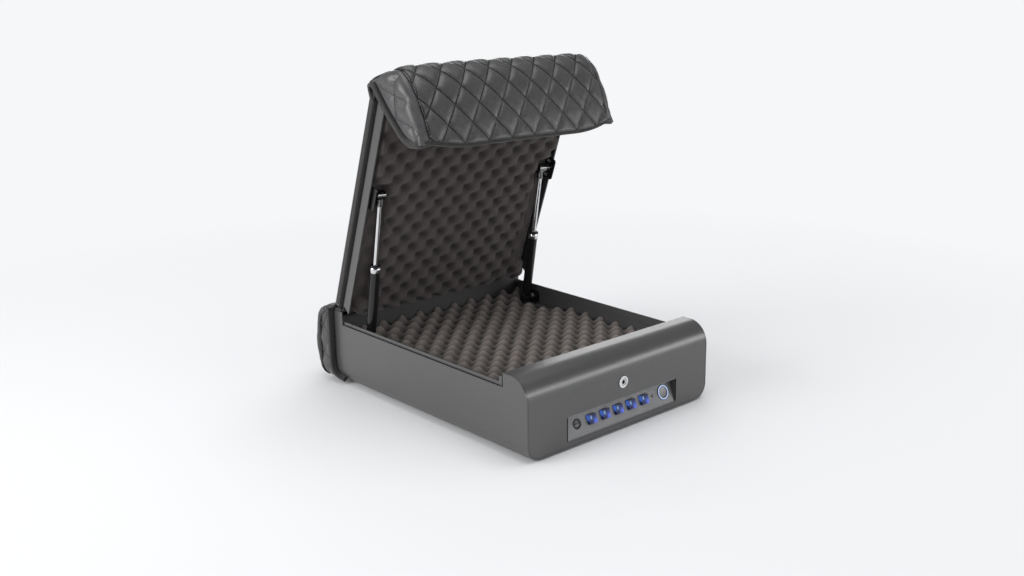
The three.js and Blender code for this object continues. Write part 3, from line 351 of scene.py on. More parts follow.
def leatherFinish(name, color, roughness, quilted=False):
    hide = Finish(name, color, roughness, Sheen_Weight=0.12, Sheen_Roughness=0.4, Specular_IOR_Level=0.5)
    pebbles = hide.cells(1150, feature="DISTANCE_TO_EDGE")
    fine = hide.noise(2600, 4, 0.6)
    creases = hide.noise(170, 6, 0.62)
    tone = hide.blend(hide.spread(hide.noise(60, 5), 0, 1), shade(color, 0.78), color)
    tone = hide.blend(hide.ramp(pebbles, 0.0, 0.12, 0.55, 0), tone, shade(color, 0.45))
    normal = hide.bump(creases, 0.22, 0.0012)
    normal = hide.bump(hide.ramp(pebbles, 0.0, 0.2, 0, 1), 0.22, 0.0002, normal)
    if quilted:  # painted shade: a narrow near-black line along the lattice, for the shade in the seam creases where the thread sits
        place = hide.split(hide.layer("lattice"))
        gaps = []
        for axis in ("X", "Y"):
            fromSeam = hide.math("FRACT", hide.math("ADD", place[axis], 0.5))
            gaps.append(hide.math("ABSOLUTE", hide.math("SUBTRACT", fromSeam, 0.5)))
        near = hide.math("MINIMUM", *gaps)
        creaseShade = hide.ramp(near, quilting["creaseCore"], quilting["creaseEdge"], 1, 0)
        # painted shade in the creases
        tone = hide.blend(creaseShade, tone, shade(color, 0.07))
        normal = hide.bump(hide.math("SUBTRACT", 1.0, creaseShade), 0.9, 0.0011, normal)
    hide.set(
        Base_Color=tone,
        Roughness=hide.spread(creases, roughness - 0.07, roughness + 0.1),
        Normal=hide.bump(fine, 0.15, 0.00012, normal),
    )
    return hide.material


def wovenFinish(name, color, pitch, roughness=0.8):  # a tape or lining, woven along its own surface
    cloth = Finish(name, color, roughness, Sheen_Weight=0.25)
    cloth.coordinates = cloth.layer("cloth")
    values = {"Scale": 1 / pitch / 2, "Distortion": 0.6, "Detail": 1, "Vector": cloth.coordinates}
    waves = [cloth.node("ShaderNodeTexWave", values, bands_direction=axis) for axis in ("X", "Y")]
    weave = cloth.math("MULTIPLY", *(wave.outputs["Fac"] for wave in waves))
    fuzz = cloth.noise(2200, 4, 0.7)
    tone = cloth.blend(cloth.ramp(weave, 0.0, 0.7, 0, 1), shade(color, 0.45), color)
    tone = cloth.blend(cloth.ramp(fuzz, 0.45, 0.75, 0, 0.4), tone, shade(color, 1.8))
    cloth.set(Base_Color=tone, Normal=cloth.bump(cloth.math("ADD", weave, fuzz), 0.5, 0.0004))
    return cloth.material


def foamFinish(name, low, high, power):  # painted shade: paler on the crests and darker in the dimples and the pores, where shade falls
    foam = Finish(name, high, 0.95, Sheen_Weight=0.15)
    pores, fine = foam.cells(900), foam.noise(1500, 5, 0.7)
    crest = foam.split(foam.layer("lattice"))["X"]
    # painted shade: from the dimples' dark colour up to the crests' colour, by crest height
    tone = foam.blend(foam.math("POWER", crest, power), low, high)
    tone = foam.blend(foam.ramp(foam.noise(30, 5, 0.6), 0.35, 0.7, 0.35, 0), tone, shade(high, 0.6))
    # painted shade in the pores
    tone = foam.blend(foam.ramp(pores, 0.0, 0.35, 0.5, 0), tone, low)
    foam.set(Base_Color=tone, Normal=foam.bump(foam.math("ADD", pores, fine), 0.75, 0.0012))
    return foam.material


def litKeyFinish(k):  # lit from inside a dark blue cap; brightest at the top near its left edge, where a painted highlight sits, with a painted shadow along the top edge
    cap = Finish("litKey", (0.008, 0.011, 0.045), 0.3, Specular_IOR_Level=0.15)
    place = cap.split()
    across = cap.math("FRACT", cap.math("ADD", cap.math("DIVIDE", place["X"], k["pitch"] * mm), k["phase"]))
    up = cap.ramp(place["Z"], k["low"] * mm, k["high"] * mm, 0, 1)
    fromLeft = cap.ramp(across, k["left"], k["right"], 0, 1)
    # a pale spot of painted highlight high on the left, a lit blue field low on the right, dark between them,
    # and painted shadow along the top edge
    spotX = cap.math("MULTIPLY", cap.math("SUBTRACT", fromLeft, 0.3), math.sqrt(2.2))
    paleHighlight = cap.ramp(cap.distance(spotX, cap.math("SUBTRACT", up, 0.66)), 0.06, 0.3, 1, 0)
    field = cap.math("MULTIPLY", cap.ramp(fromLeft, 0.3, 0.75, 0, 1), cap.ramp(up, 0.35, 0.85, 1, 0))
    # painted highlight along the upper part of the left edge
    rim = cap.math("MULTIPLY", cap.ramp(fromLeft, 0.0, 0.14, 1, 0), cap.ramp(up, 0.25, 0.5, 0, 1))
    topEdgeShadow = cap.ramp(up, 0.88, 0.95, 1, 0)
    mottled = cap.spread(cap.noise(650, 3), 0.7, 1.2)
    blue = cap.blend(field, (0.02, 0.045, 0.22), (0.1, 0.17, 0.8))
    blue = cap.blend(rim, blue, (0.08, 0.2, 0.85))
    blue = cap.blend(paleHighlight, blue, (0.3, 0.55, 0.95))
    edges = cap.math("MAXIMUM", cap.math("MULTIPLY", paleHighlight, 0.75), cap.math("MULTIPLY", rim, 0.6))
    glow = cap.math("ADD", cap.math("MAXIMUM", cap.math("MULTIPLY", field, 0.85), edges), 0.06)
    glow = cap.math("MULTIPLY", cap.math("MULTIPLY", glow, topEdgeShadow), mottled)
    cap.set(Emission_Color=blue, Emission_Strength=cap.math("MULTIPLY", glow, k["glow"]))
    return cap.material


def plateFinish():  # the keypad's plate, with painted shade on its ends inside the recess
    plate = Finish("keypadPlastic", (0.12, 0.121, 0.125), 0.36)
    grain = plate.cells(2200)
    fromMiddle = plate.math("ABSOLUTE", plate.math("SUBTRACT", plate.split()["X"], keypad["middle"] * mm))
    # painted shade: the ends inside the recess, near black and with little specular
    end = plate.ramp(fromMiddle, keypad["reach"] * mm, (keypad["reach"] + 0.3) * mm, 0, 1)
    tone = plate.blend(plate.noise(40, 5), (0.125, 0.126, 0.13), (0.11, 0.111, 0.115))
    plate.set(
        Base_Color=plate.blend(end, tone, (0.004, 0.004, 0.004)),
        Specular_IOR_Level=plate.ramp(end, 0, 1, 0.5, 0.05),
        Roughness=plate.spread(plate.noise(70, 4), 0.3, 0.42),
        Normal=plate.bump(grain, 0.08, 0.0002),
    )
    return plate.material


def lockCoreFinish():  # a bright face round a small dark keyway, a disc of painted shade standing for the hole
    core = Finish("lockCore", (0.8, 0.8, 0.8), 0.2)
    reach = core.around(Vector((0, 0, keypad["lockHeight"] * mm)))[0]
    # painted shade: the dark disc of the keyway
    dark = core.ramp(reach, *inMetres(keypad["keyway"]), 1, 0)
    core.set(
        Base_Color=core.blend(dark, (0.85, 0.85, 0.85), (0.01, 0.01, 0.01)),
        Metallic=core.ramp(dark, 0, 1, 1, 0.2),
        Roughness=core.spread(core.noise(900, 4), 0.14, 0.26),
    )
    return core.material


keypad = {
    "pitch": 21.95, "phase": 0.6048, "left": 0.222, "right": 0.778, "low": 19.2, "high": 31.6, "glow": 0.9,
    "middle": 1.75, "reach": 90.3, "lockHeight": 59.4, "keyway": (2.3, 2.9), "lean": 1.06,
    "ring": 7.9, "ringLight": (0.5, 0.9), "disc": (4.5, 4.7), "slotHalf": 3, "slotEdge": (0.5, 0.8),
}
quilting = {"creaseCore": 0.011, "creaseEdge": 0.042}  # half widths of the painted shade in the seam creases, as shares of a diamond

powderCoat = paintedSteel("powderCoat", (0.052, 0.052, 0.053), (0.045, 0.045, 0.046), 0.31)
traySteel = paintedSteel("traySteel", (0.02, 0.02, 0.022), (0.014, 0.014, 0.016), 0.45)
chrome = polishedSteel("chrome", (0.78, 0.79, 0.81), 0.12, (900, 900, 60))
zincSteel = polishedSteel("zincSteel", (0.6, 0.61, 0.63), 0.28, (700, 90, 700))
strutPaint = mouldedPlastic("strutPaint", (0.008, 0.008, 0.009), 0.16, 900, 0.03)
socketPlastic = mouldedPlastic("socketPlastic", (0.012, 0.012, 0.013), 0.4)
keypadPlastic = plateFinish()
sensorGlass = mouldedPlastic("sensorGlass", (0.13, 0.13, 0.135), 0.2, 900, 0.02)
blackPaint = mouldedPlastic("blackPaint", (0.007, 0.007, 0.008), 0.22, 900, 0.03)
darkChrome = polishedSteel("darkChrome", (0.2, 0.2, 0.205), 0.16, (1, 1, 1))
lockCore = lockCoreFinish()
footRubber = mouldedPlastic("footRubber", (0.014, 0.014, 0.014), 0.85, 700, 0.3)
boardGreen = mouldedPlastic("boardGreen", (0.01, 0.09, 0.035), 0.35, 500, 0.1)
# each foam's first colour is the painted shade of its dimples and pores, the second its crests' colour
trayFoamFinish = foamFinish("trayFoam", (0.012, 0.0105, 0.01), (0.15, 0.127, 0.115), 1.5)
lidFoamFinish = foamFinish("lidFoam", (0.026, 0.02, 0.02), (0.064, 0.05, 0.048), 1.6)
leather = leatherFinish("quiltedLeather", (0.056, 0.056, 0.057), 0.3, quilted=True)
smoothLeather = leatherFinish("smoothLeather", (0.066, 0.066, 0.068), 0.3)
lining = wovenFinish("lining", (0.02, 0.019, 0.019), 0.0007)
bindingTape = wovenFinish("bindingTape", (0.017, 0.014, 0.013), 0.0012)
thread = wovenFinish("thread", (0.02, 0.02, 0.021), 0.0004, 0.6)
litKey = litKeyFinish(keypad)
print("finishes made:", len(bpy.data.materials))


# egg-crate foam
trayPad = {
    "halfWidth": 147.9, "start": 39.8, "end": 353.6, "crestsAcross": 10, "crestsAlong": 11, "relief": 18,
    "crest": 66.8, "rearRise": 8, "riseLength": 50, "floor": 4.1, "bend": 15.9, "steps": 12, "fullness": 1.55,
    "pocketInner": 124, "pocketFrom": 262, "pocketTo": 340, "pocketFloor": 58, "unevenness": 0.7,
}
lidPad = {
    "halfWidth": 143.9, "start": 3, "end": 303.4, "crestsAcross": 10, "crestsAlong": 10, "relief": 7.5,
    "base": 2.1, "thickness": 18, "corner": 16, "border": 4.5, "steps": 12, "fullness": 2.1,
    "unevenness": 0.6, "pocketInner": 119.95, "pocketFrom": 22, "pocketTo": 192,
    "leafWidth": 16.3, "leafBase": 3.6,
}


def crateGrid(k):  # places across, -1 to 1, and along, in mm, with 1 on each crest and 0 in each dimple
    counts = (k["crestsAcross"], k["crestsAlong"])
    a, b = np.meshgrid(*(np.linspace(0, 2 * count, count * k["steps"] + 1) for count in counts))
    height = 1 - (1 - (1 + np.cos(np.pi * a) * np.cos(np.pi * b)) / 2) ** k["fullness"]
    along = k["start"] + (k["end"] - k["start"]) * b / 2 / k["crestsAlong"]
    return a / k["crestsAcross"] - 1, along, height


def strutRoom(x, along, k):  # 1 in the rooms that the foam leaves for the struts, 0 outside them
    share = 1
    for inside in (np.abs(x) - k["pocketInner"], along - k["pocketFrom"], k["pocketTo"] - along):
        share = share / (1 + np.exp(-np.clip((inside - 1) / 0.7, -30, 30)))
    return share


# the lattice layer carries the crest height, which the foam's painted shade follows
def foamShell(name, outer, under, place, crest, foam):
    return shell(name, outer, under, np.dstack(place) * mm, [foam, foam], np.dstack([crest, 0 * crest]))


def makeTrayFoam(k):
    across, y, height = crateGrid(k)
    x = k["halfWidth"] * across
    rise = k["rearRise"] * np.clip((y - k["end"] + k["riseLength"]) / k["riseLength"], 0, 1)
    uneven = k["unevenness"] * ripple(x / 19, y / 19, 1.3) * (0.3 + height)
    z = k["crest"] + rise - k["relief"] * (1 - height) + uneven
    pocket = strutRoom(x, y, k)
    z = z + (np.minimum(z, k["pocketFloor"]) - z) * pocket
    under = k["floor"] + roundedEdge(k["halfWidth"] - np.abs(x), k["bend"])
    # the strut rooms take more painted shade, as recesses
    crest = height * (1 - 0.8 * pocket)
    return foamShell("trayFoamPad", rowPlace(x, y, z), rowPlace(x, y, under), (x, y), crest, trayFoamFinish)


def makeLidFoam(k):
    across, u, height = crateGrid(k)
    fromEnd = np.minimum(u - k["start"], k["end"] - u)
    x = (k["halfWidth"] - roundedEdge(fromEnd, k["corner"])) * across
    uneven = k["unevenness"] * ripple(x / 19, u / 19, 2.1) * height
    depth = k["base"] + k["thickness"] - k["relief"] * (1 - height) + uneven
    depth = depth + (np.minimum(depth, k["base"] + k["border"]) - depth) * strutRoom(x, u, k)
    base = np.where(u < k["leafWidth"], k["leafBase"], k["base"])  # over the hinge's leaf and beyond it
    outer, under = lidPlace(x, u, -np.maximum(depth, base + 0.4)), lidPlace(x, u, -base)
    return foamShell("lidFoamPad", outer, under, (x, u), height, lidFoamFinish)


trayFoamPad = makeTrayFoam(trayPad)
lidFoamPad = makeLidFoam(lidPad)
print("foam pads:", len(trayFoamPad.data.polygons) + len(lidFoamPad.data.polygons), "faces")


# sewn work: quilting, tapes, piping and stitches
def quiltHeight(p, q):  # 0 on the seams p or q = whole number, 1 in the middle of a diamond
    toP, toQ = (2 * np.abs(np.mod(way, 1) - 0.5) for way in (p, q))
    return (1 - toP ** 4.5) * (1 - toQ ** 4.5)


def seamPucker(p, q, cell):  # short wrinkles that run into a seam from both sides, in mm
    total = 0
    for across, along, seed in ((p, q, 0.7), (q, p, 2.9)):
        gap = np.abs(np.mod(across + 0.5, 1) - 0.5) * cell
        wave = np.sin(along * cell * 1.25 + 2.1 * ripple(along * 3, across * 3, seed))
        total = total + np.exp(-gap / 3.2) * (1 - np.exp(-gap / 0.5)) * wave
    return total


def sweep(name, path, normals, section, material):  # a section of (side, out) points along a path
    path, normals = np.asarray(path, float), np.asarray(normals, float)
    tangent = unit(np.gradient(path, axis=0))
    normals = unit(normals - tangent * (normals * tangent).sum(1)[:, None])
    side = np.cross(tangent, normals)
    section = np.asarray(section, float) * mm
    rings = path[:, None] + side[:, None] * section[None, :, :1] + normals[:, None] * section[None, :, 1:]
    rows, columns = rings.shape[:2]
    faces = gridFaces(rows, columns, closed=True).tolist()
    faces += [list(range(columns)), list(range((rows - 1) * columns, rows * columns))[::-1]]
    uv = np.stack(np.meshgrid(runAlong(section), runAlong(path)), -1)
    return outwards(newObject(name, rings, faces, [material], uv))


def roundSection(sideHalf, outHalf, count, power=2):  # an oval, squarer with a higher power
    turn = np.linspace(0, 2 * np.pi, count, endpoint=False)
    ways = ((sideHalf, np.cos(turn)), (outHalf, np.sin(turn)))
    return np.stack([half * np.sign(way) * np.abs(way) ** (2 / power) for half, way in ways], -1)


def merged(name, pieces):
    bpy.ops.object.select_all(action="DESELECT")
    for piece in pieces:
        piece.select_set(True)
    bpy.context.view_layer.objects.active = pieces[0]
    if len(pieces) > 1:
        bpy.ops.object.join()
    pieces[0].name = pieces[0].data.name = name
    return pieces[0]


def bothSides(name, place, x, line, out, section, material):  # a strip along the line on each side
    strips = []
    for side in (-1, 1):
        path = place(side * x, *line)
        normals = np.tile([side * out[0], *out[1:]], (len(path), 1))
        strips.append(sweep(name, path, normals, section, material))
    return merged(name, strips)


def seamLines(lines, x, place):  # the same lines on both sides
    return [place(side * x, line[:, 0], line[:, 1]) for side in (-1, 1) for line in lines]


def stitchTree():  # thread stitches along the edges of a wire
    sizes = dict.fromkeys(("Stitch pitch", "Stitch length", "Thread radius"), "Float")
    tree, given = newTree("stitchRun", {"Seam lines": "Geometry", **sizes, "Thread": "Material"}, "Stitches")
    curve = addNode(tree, "GeometryNodeMeshToCurve", {0: given["Seam lines"]}).outputs[0]
    values = {"Curve": curve, "Length": given["Stitch pitch"]}
    places = addNode(tree, "GeometryNodeResampleCurve", values, mode="LENGTH").outputs[0]
    ball = addNode(tree, "GeometryNodeMeshUVSphere", {"Segments": 6, "Rings": 5, "Radius": 1}).outputs["Mesh"]
    values = {0: given["Stitch length"], 1: 0.5}
    half = addNode(tree, "ShaderNodeMath", values, operation="MULTIPLY").outputs[0]
    radius = given["Thread radius"]
    size = addNode(tree, "ShaderNodeCombineXYZ", {"X": half, "Y": radius, "Z": radius}).outputs[0]
    tangent = addNode(tree, "GeometryNodeInputTangent").outputs[0]
    turn = addNode(tree, "FunctionNodeAlignRotationToVector", {"Vector": tangent}, axis="X").outputs[0]
    values = {"Points": places, "Instance": ball, "Rotation": turn, "Scale": size}
    balls = addNode(tree, "GeometryNodeInstanceOnPoints", values).outputs[0]
    real = addNode(tree, "GeometryNodeRealizeInstances", {0: balls}).outputs[0]
    values = {"Geometry": real, "Material": given["Thread"]}
    painted = addNode(tree, "GeometryNodeSetMaterial", values).outputs[0]
    addNode(tree, "NodeGroupOutput", {"Stitches": painted})
    return tree


stitchRun = stitchTree()
stitch = {"Stitch pitch": 3.6 * mm, "Stitch length": 2.7 * mm, "Thread radius": 0.42 * mm, "Thread": thread}


def sewn(name, lines):  # stitches along lists of points, as one mesh
    points, edges = [], []
    for line in lines:
        first = len(points)
        points += np.asarray(line).tolist()
        edges += [(first + i, first + i + 1) for i in range(len(line) - 1)]
    mesh = bpy.data.meshes.new(name + "Lines")
    mesh.from_pydata(points, edges, [])
    wire = inScene(name, mesh)
    modifier = wire.modifiers.new("stitches", "NODES")
    modifier.node_group = stitchRun
    for item in stitchRun.interface.items_tree:
        if item.in_out == "INPUT" and item.name in stitch:
            modifier[item.identifier] = stitch[item.name]
    view = bpy.context.evaluated_depsgraph_get()
    made = bpy.data.meshes.new_from_object(wire.evaluated_get(view))
    wire.modifiers.clear()
    wire.data = made
    made.name = name
    made.polygons.foreach_set("use_smooth", [True] * len(made.polygons))
    return wire


# the quilted cover: one skin over the lid and down the hood, which bends at the fold
cover = {
    "rear": 5, "fold": 311.8, "height": 15, "edgeHeight": 9, "base": 0.35, "lidHalf": 151.9,
    "hoodHalf": 156.8, "hoodDepth": 60, "hoodDrop": 117, "hoodSheet": 6,
    "lidStep": 2.6, "hoodStep": 1.5, "step": 1.85,
    "cellAcross": 35.8, "cellAlong": 46, "latticeShift": 7.2, "seamDepth": 2.2, "pucker": 0.2, "crest": 0.4,
    "edgeRound": 3.2, "endRound": 4, "rearDrop": 6, "rearLength": 40, "calmFrom": 4, "calmTo": 18,
    "widening": 28, "narrowStart": 5, "narrowFull": 30, "frontHalf": 144, "taper": 2.5, "foldReach": 9,
    "cornerDraw": 3.5, "drawWidth": 26, "drawStart": 24, "drawFull": 56, "cornerLift": 9, "liftWidth": 60,
    "sag": 2.1, "sagFrom": 60, "sagWidth": 217, "sagOver": 14, "pipeStop": 9, "pipe": 0.9,
    "thickFrom": 5, "thickOver": 12, "sheet": 0.9, "sheetEdge": 16, "sheetOver": 20, "thinnest": 0.8,
}
hoodShares = [
    (0.006, 0), (0.35, 0.024), (0.7, 0.066), (0.89, 0.12), (0.975, 0.23),
    (1, 0.36), (0.97, 0.513), (0.9, 0.684), (0.81, 0.855), (0.71, 1),
]


def hoodCurve(count):  # the hood's outer side from the fold to its lower edge, as (y, z) in the hood's frame
    return smoothPath([(-a * cover["hoodDepth"], -b * cover["hoodDrop"]) for a, b in hoodShares], count)


def coverPath(k):  # (y, z) in metres from the lid's rear edge to the hood's lower edge, and the run in mm
    u = np.linspace(k["rear"], k["fold"] - k["foldReach"], 140)
    lidPart = lidPlace(0, u, k["height"])[:, 1:]
    curve = hoodCurve(120)
    curve = curve[runAlong(curve) > k["foldReach"]]
    hoodPart = hoodPlace(0, curve[:, 0], curve[:, 1])[:, 1:]
    corner = smoothPath([lidPart[-12], lidPart[-1], foldAt, hoodPart[0], hoodPart[6]], 60)
    blended = np.concatenate([lidPart[:-12], corner, hoodPart[7:]])
    length = runAlong(blended) / mm - (k["fold"] - k["rear"])
    lidRun = np.arange(length[0], -k["hoodStep"], k["lidStep"])
    places = np.concatenate([lidRun, np.linspace(0, length[-1], int(length[-1] / k["hoodStep"]))])
    return np.stack([np.interp(places, length, blended[:, i]) for i in (0, 1)], -1), places


def skinHalf(run, k):  # half the skin's width: wider over the fold, narrower down the hood's front
    wider, narrower = ease(run, -k["widening"], 0), ease(run, k["narrowStart"], k["narrowFull"])
    tapered = np.clip((run - k["drawFull"]) / (runAlong(hoodCurve(60))[-1] - k["drawFull"]), 0, 1)
    half = k["lidHalf"] + (k["hoodHalf"] - k["lidHalf"]) * wider - (k["hoodHalf"] - k["frontHalf"]) * narrower
    return half - k["taper"] * tapered


def lattice(x, s, k):  # how many diamonds a place lies along each of the two ways of the seams
    column = (x + k["latticeShift"]) / k["cellAcross"]
    return column + s / k["cellAlong"], column - s / k["cellAlong"]


def quiltStops(half, k):  # places across, closer together in the rounded edges
    turn = np.linspace(0, math.pi / 2, 6)[:-1]
    edge = half - k["edgeRound"] * (1 - np.cos(turn))
    middle = np.linspace(-(half - k["edgeRound"]), half - k["edgeRound"], int(2 * half / k["step"]) + 1)
    return np.concatenate([-np.sort(edge)[::-1], middle[1:-1], np.sort(edge)]) / half


def makeCoverSkin(k):
    path, run = coverPath(k)
    normal = facing(path, len(path) // 3)
    nearFold = ease(run, -k["widening"], 0)
    half = skinHalf(run, k)
    across = quiltStops(k["lidHalf"], k)
    s, t = np.meshgrid(run, across, indexing="ij")
    x = t * half[:, None]
    gap = (1 - np.abs(t)) * half[:, None]
    # the corners of the lower edge hang higher than its middle
    lift = k["cornerLift"] * np.clip(1 - gap / k["liftWidth"], 0, 1) ** 2
    s = s - lift * np.clip(s / run[-1], 0, 1) ** 2
    y0, z0, ny, nz = (np.interp(s, run, values) for values in (*path.T, *normal.T))
    p, q = lattice(x, s, k)
    calm = np.where(s < 0, ease(gap, k["calmFrom"], k["calmTo"]), 1)  # no seams along the lid's tapes
    height = 1 - (1 - quiltHeight(p, q)) * calm
    crown = (k["height"] - k["edgeHeight"]) * np.abs(t) ** 4 * (1 - nearFold[:, None])
    fromRear = s - run[0]
    rearDrop = k["rearDrop"] * np.clip(1 - fromRear / k["rearLength"], 0, 1) ** 2
    endGap = np.minimum(fromRear, (run[-1] - run)[:, None] + 0 * s)
    draw = k["cornerDraw"] * roundedEdge(gap, k["drawWidth"]) / k["drawWidth"]
    draw = draw * ease(s, k["drawStart"], k["drawFull"])
    drop = crown + rearDrop + draw + roundedEdge(gap, k["edgeRound"]) + roundedEdge(endGap, k["endRound"])
    drop = drop + k["seamDepth"] * (1 - height) + k["pucker"] * seamPucker(p, q, k["cellAlong"])
    drop = drop + (0.35 * ripple(x / 26, s / 26, 0.4) - k["crest"]) * height
    lidDepth = k["height"] - k["base"]
    onLid = np.clip(-(s + k["thickFrom"]) / k["thickOver"], 0, 1)
    inner = k["hoodSheet"] + (lidDepth - k["hoodSheet"]) * onLid + draw
    nearEdge = ease(1 - gap / k["sheetEdge"]) * ease(s / k["sheetOver"])  # one sheet thick there
    inner = inner + (np.minimum(inner, drop + k["sheet"]) - inner) * nearEdge
    inner = np.maximum(inner, np.minimum(drop + k["thinnest"], lidDepth))
    hanging = np.clip(s / k["sagOver"], 0, 1)
    outer, under = (
        sagged(np.dstack([x * mm, y0 - ny * deep * mm, z0 - nz * deep * mm]), hanging)
        for deep in (drop, inner)
    )
    skin = shell("coverSkin", outer, under, np.dstack([x, s]) * mm, [leather, lining], np.dstack([p, q]))
    outward = np.stack([0 * ny, ny, nz], -1)
    hang = (run > k["narrowStart"]) & (run < run[-1] - k["pipeStop"])
    pipes = []
    for i, side in ((2, -1), (-3, 1)):  # along the skin's side edges
        out = outward[hang, i]
        line, section = outer[hang, i] + out * 0.5 * mm, roundSection(k["pipe"], k["pipe"], 8)
        pipes.append(sweep("pipe", line, out + [side * 0.5, 0, 0], section, blackPaint))
    return skin, merged("hoodPiping", pipes), (outer[-1] + under[-1]) / 2, outward[-1]


# stitched seams of the hood's gusset and of the tail's side, as (y, z) lines
gussetSeams = [
    [(-46, -25), (-38, -31), (-31, -40), (-17, -59)],
    [(-15, -16), (-32, -38), (-45, -54)],
    [(-17, -60), (-28, -73), (-36, -83), (-41, -91)],
    [(-36, -83), (-32, -99)], [(-27, -103), (-38, -98)],
]
gussetRear = [(-9, -6), (-10.9, -9), (-12.2, -37.2), (-14.4, -60.7), (-18.7, -84), (-26, -97), (-31, -104)]
trim = {
    "half": 154.4, "corner": [(153.5, -33, -104.6), (149, -37.5, -106.2)], "below": 1.2,
    "line": [(-4.5, -3.2), (-7, -8.5), (-8, -37.5), (-10.3, -61), (-15, -85.5), (-22, -97), (-29, -103)],
    "section": (3.9, 2.8, 16, 3), "points": 420, "turnFrom": 0.02, "turnLength": 0.06,
    "seam": 2.3, "thread": 2.9,
}


def seamGap(y, z, lines):  # distance in mm from each place to the nearest seam
    nearest = np.full(y.shape, 1e9)
    for line in lines:
        for (y0, z0), (y1, z1) in zip(line[:-1], line[1:]):
            dy, dz = y1 - y0, z1 - z0
            along = np.clip(((y - y0) * dy + (z - z0) * dz) / (dy * dy + dz * dz), 0, 1)
            nearest = np.minimum(nearest, np.hypot(y - y0 - along * dy, z - z0 - along * dz))
    return nearest


def sidePatch(name, outline, rear, seams, place, k):  # smooth leather on both sides of the hood or the tail
    rows, columns = k["rows"], k["columns"]
    front, back = smoothPath(outline, rows), smoothPath(rear, rows)
    share = 0.5 - 0.5 * np.cos(np.linspace(0, math.pi, columns))
    # outline holds (y, z, x) and rear (y, z); the first part of the width turns the corner to the side
    bend = k["wrap"]
    turn = np.minimum(share / bend, 1) * math.pi / 2
    corner = 1 / (1 + math.pi / 2 * (1 - bend) / bend)
    reach = corner * (1 - np.cos(turn)) + (1 - corner) * np.clip((share - bend) / (1 - bend), 0, 1)
    y = front[:, None, 0] + (back[:, None, 0] - front[:, None, 0]) * reach
    z = front[:, None, 1] + (back[:, None, 1] - front[:, None, 1]) * reach
    start = front[:, None, 2]
    x = start + (k["base"] - start) * np.sin(turn)
    rounded = (k["base"] - start) / max(1e-3, (k["base"] - start).max())
    turn = math.pi / 2 - (math.pi / 2 - turn) * np.clip(rounded, 0, 1)
    forward = sidewards(front[:, :2])
    if (forward * (front[:, :2] - back))[rows // 2].sum() < 0:
        forward = -forward
    width = np.linalg.norm(back - front[:, :2], axis=1)[:, None]
    border = np.minimum(share, 1 - share) * width
    gap = seamGap(y, z, seams)
    rise = k["puff"] * (1 - np.exp(-(gap / k["soft"]) ** 1.5)) * (1 - np.exp(-border / k["soft"]))
    rise = rise + 0.35 * ripple(y / 9, z / 9, 1.9) * (1 - np.exp(-border / 6))
    rise = rise - roundedEdge(border, k["edgeRound"])
    wrinkles = np.sin(1.5 * (y - z) + 2 * ripple(y / 6, z / 6, 0.3))
    rise = rise + 0.3 * np.exp(-gap / 3) * (1 - np.exp(-gap / 0.6)) * wrinkles
    uv = np.dstack([y, z + x * np.cos(turn)]) * mm
    pieces = []
    for side, label in ((-1, "Left"), (1, "Right")):
        skins = []
        for lift in (rise, k["inner"] - k["base"]):
            ahead = lift * np.cos(turn)
            newY, newZ = y + forward[:, None, 0] * ahead, z + forward[:, None, 1] * ahead
            skins.append(place(side * (x + lift * np.sin(turn)), newY, newZ))
        pieces.append(shell(name + label, *skins, uv, [smoothLeather, lining]))
    return pieces


gusset = {
    "rows": 96, "columns": 60, "puff": 3.2, "soft": 5.5, "base": 153.9, "inner": 152.2, "edgeRound": 2.0,
    "wrap": 0.4, "frontInset": 2.2, "underSkin": 0.6,
}


def makeGussets(k):
    count = 60
    curve = hoodCurve(count)
    run = np.linspace(0, runAlong(curve)[-1], count)
    drawn = ease(run, cover["drawStart"], cover["drawFull"]) * cover["cornerDraw"]
    inset = curve + (k["frontInset"] + drawn)[:, None] * facing(curve, count // 2)
    start = np.minimum(skinHalf(run, cover) - k["underSkin"], k["base"])
    outline = np.column_stack([inset, start])[3:-2:6]
    return sidePatch("hoodGusset", outline, gussetRear, gussetSeams, hangPlace, k)


def makeHoodTrim(edge, outward, k):  # woven tape round the gussets' rear edges and the lower edge
    line = smoothPath(k["line"], 15)[:-1]
    left, right = (hangPlace(side * k["half"], line[:, 0], line[:, 1]) for side in (-1, 1))
    front = outward.mean(0)
    down = np.array([0, -front[2], front[1]])
    low = evenly(edge[6:-6], 24) - (down if down[2] < 0 else -down) * k["below"] * mm
    cornerLeft, cornerRight = ([hangPlace(side * x, y, z) for x, y, z in k["corner"]] for side in (-1, 1))
    path = smoothPath(np.concatenate([left, cornerLeft, low, cornerRight[::-1], right[::-1]]), k["points"])
    share = np.linspace(0, 1, k["points"])
    turnAt = runAlong(left)[-1] / runAlong(path)[-1] - k["turnFrom"]
    toFront = ease((np.minimum(share, 1 - share) - turnAt) / k["turnLength"])[:, None]
    out = unit(np.sign(share - 0.5)[:, None] * np.array([1, 0, 0]) * (1 - toFront) + front * toFront)
    aside = np.cross(unit(np.gradient(path, axis=0)), out)
    stitches = [(path + (aside * shift + out * k["thread"]) * mm)[4:-4] for shift in (-k["seam"], k["seam"])]
    return sweep("hoodTape", path, out, roundSection(*k["section"]), bindingTape), stitches


lidBinding = {
    "fromRear": 4, "fromFold": 8, "half": 152.2, "height": 5.6, "section": (4.6, 1.5, 14, 3),
    "threadHalf": 153.7, "threadHeight": 7.6,
}


def makeLidTape(k):  # binds the lid cover's two side edges
    u = np.linspace(cover["rear"] + k["fromRear"], cover["fold"] - k["fromFold"], 120)
    section = roundSection(*k["section"])
    tape = bothSides("lidTape", lidPlace, k["half"], (u, k["height"]), (1, 0, 0), section, bindingTape)
    stitches = [lidPlace(side * k["threadHalf"], u, k["threadHeight"]) for side in (-1, 1)]
    return tape, sewn("lidStitches", stitches)


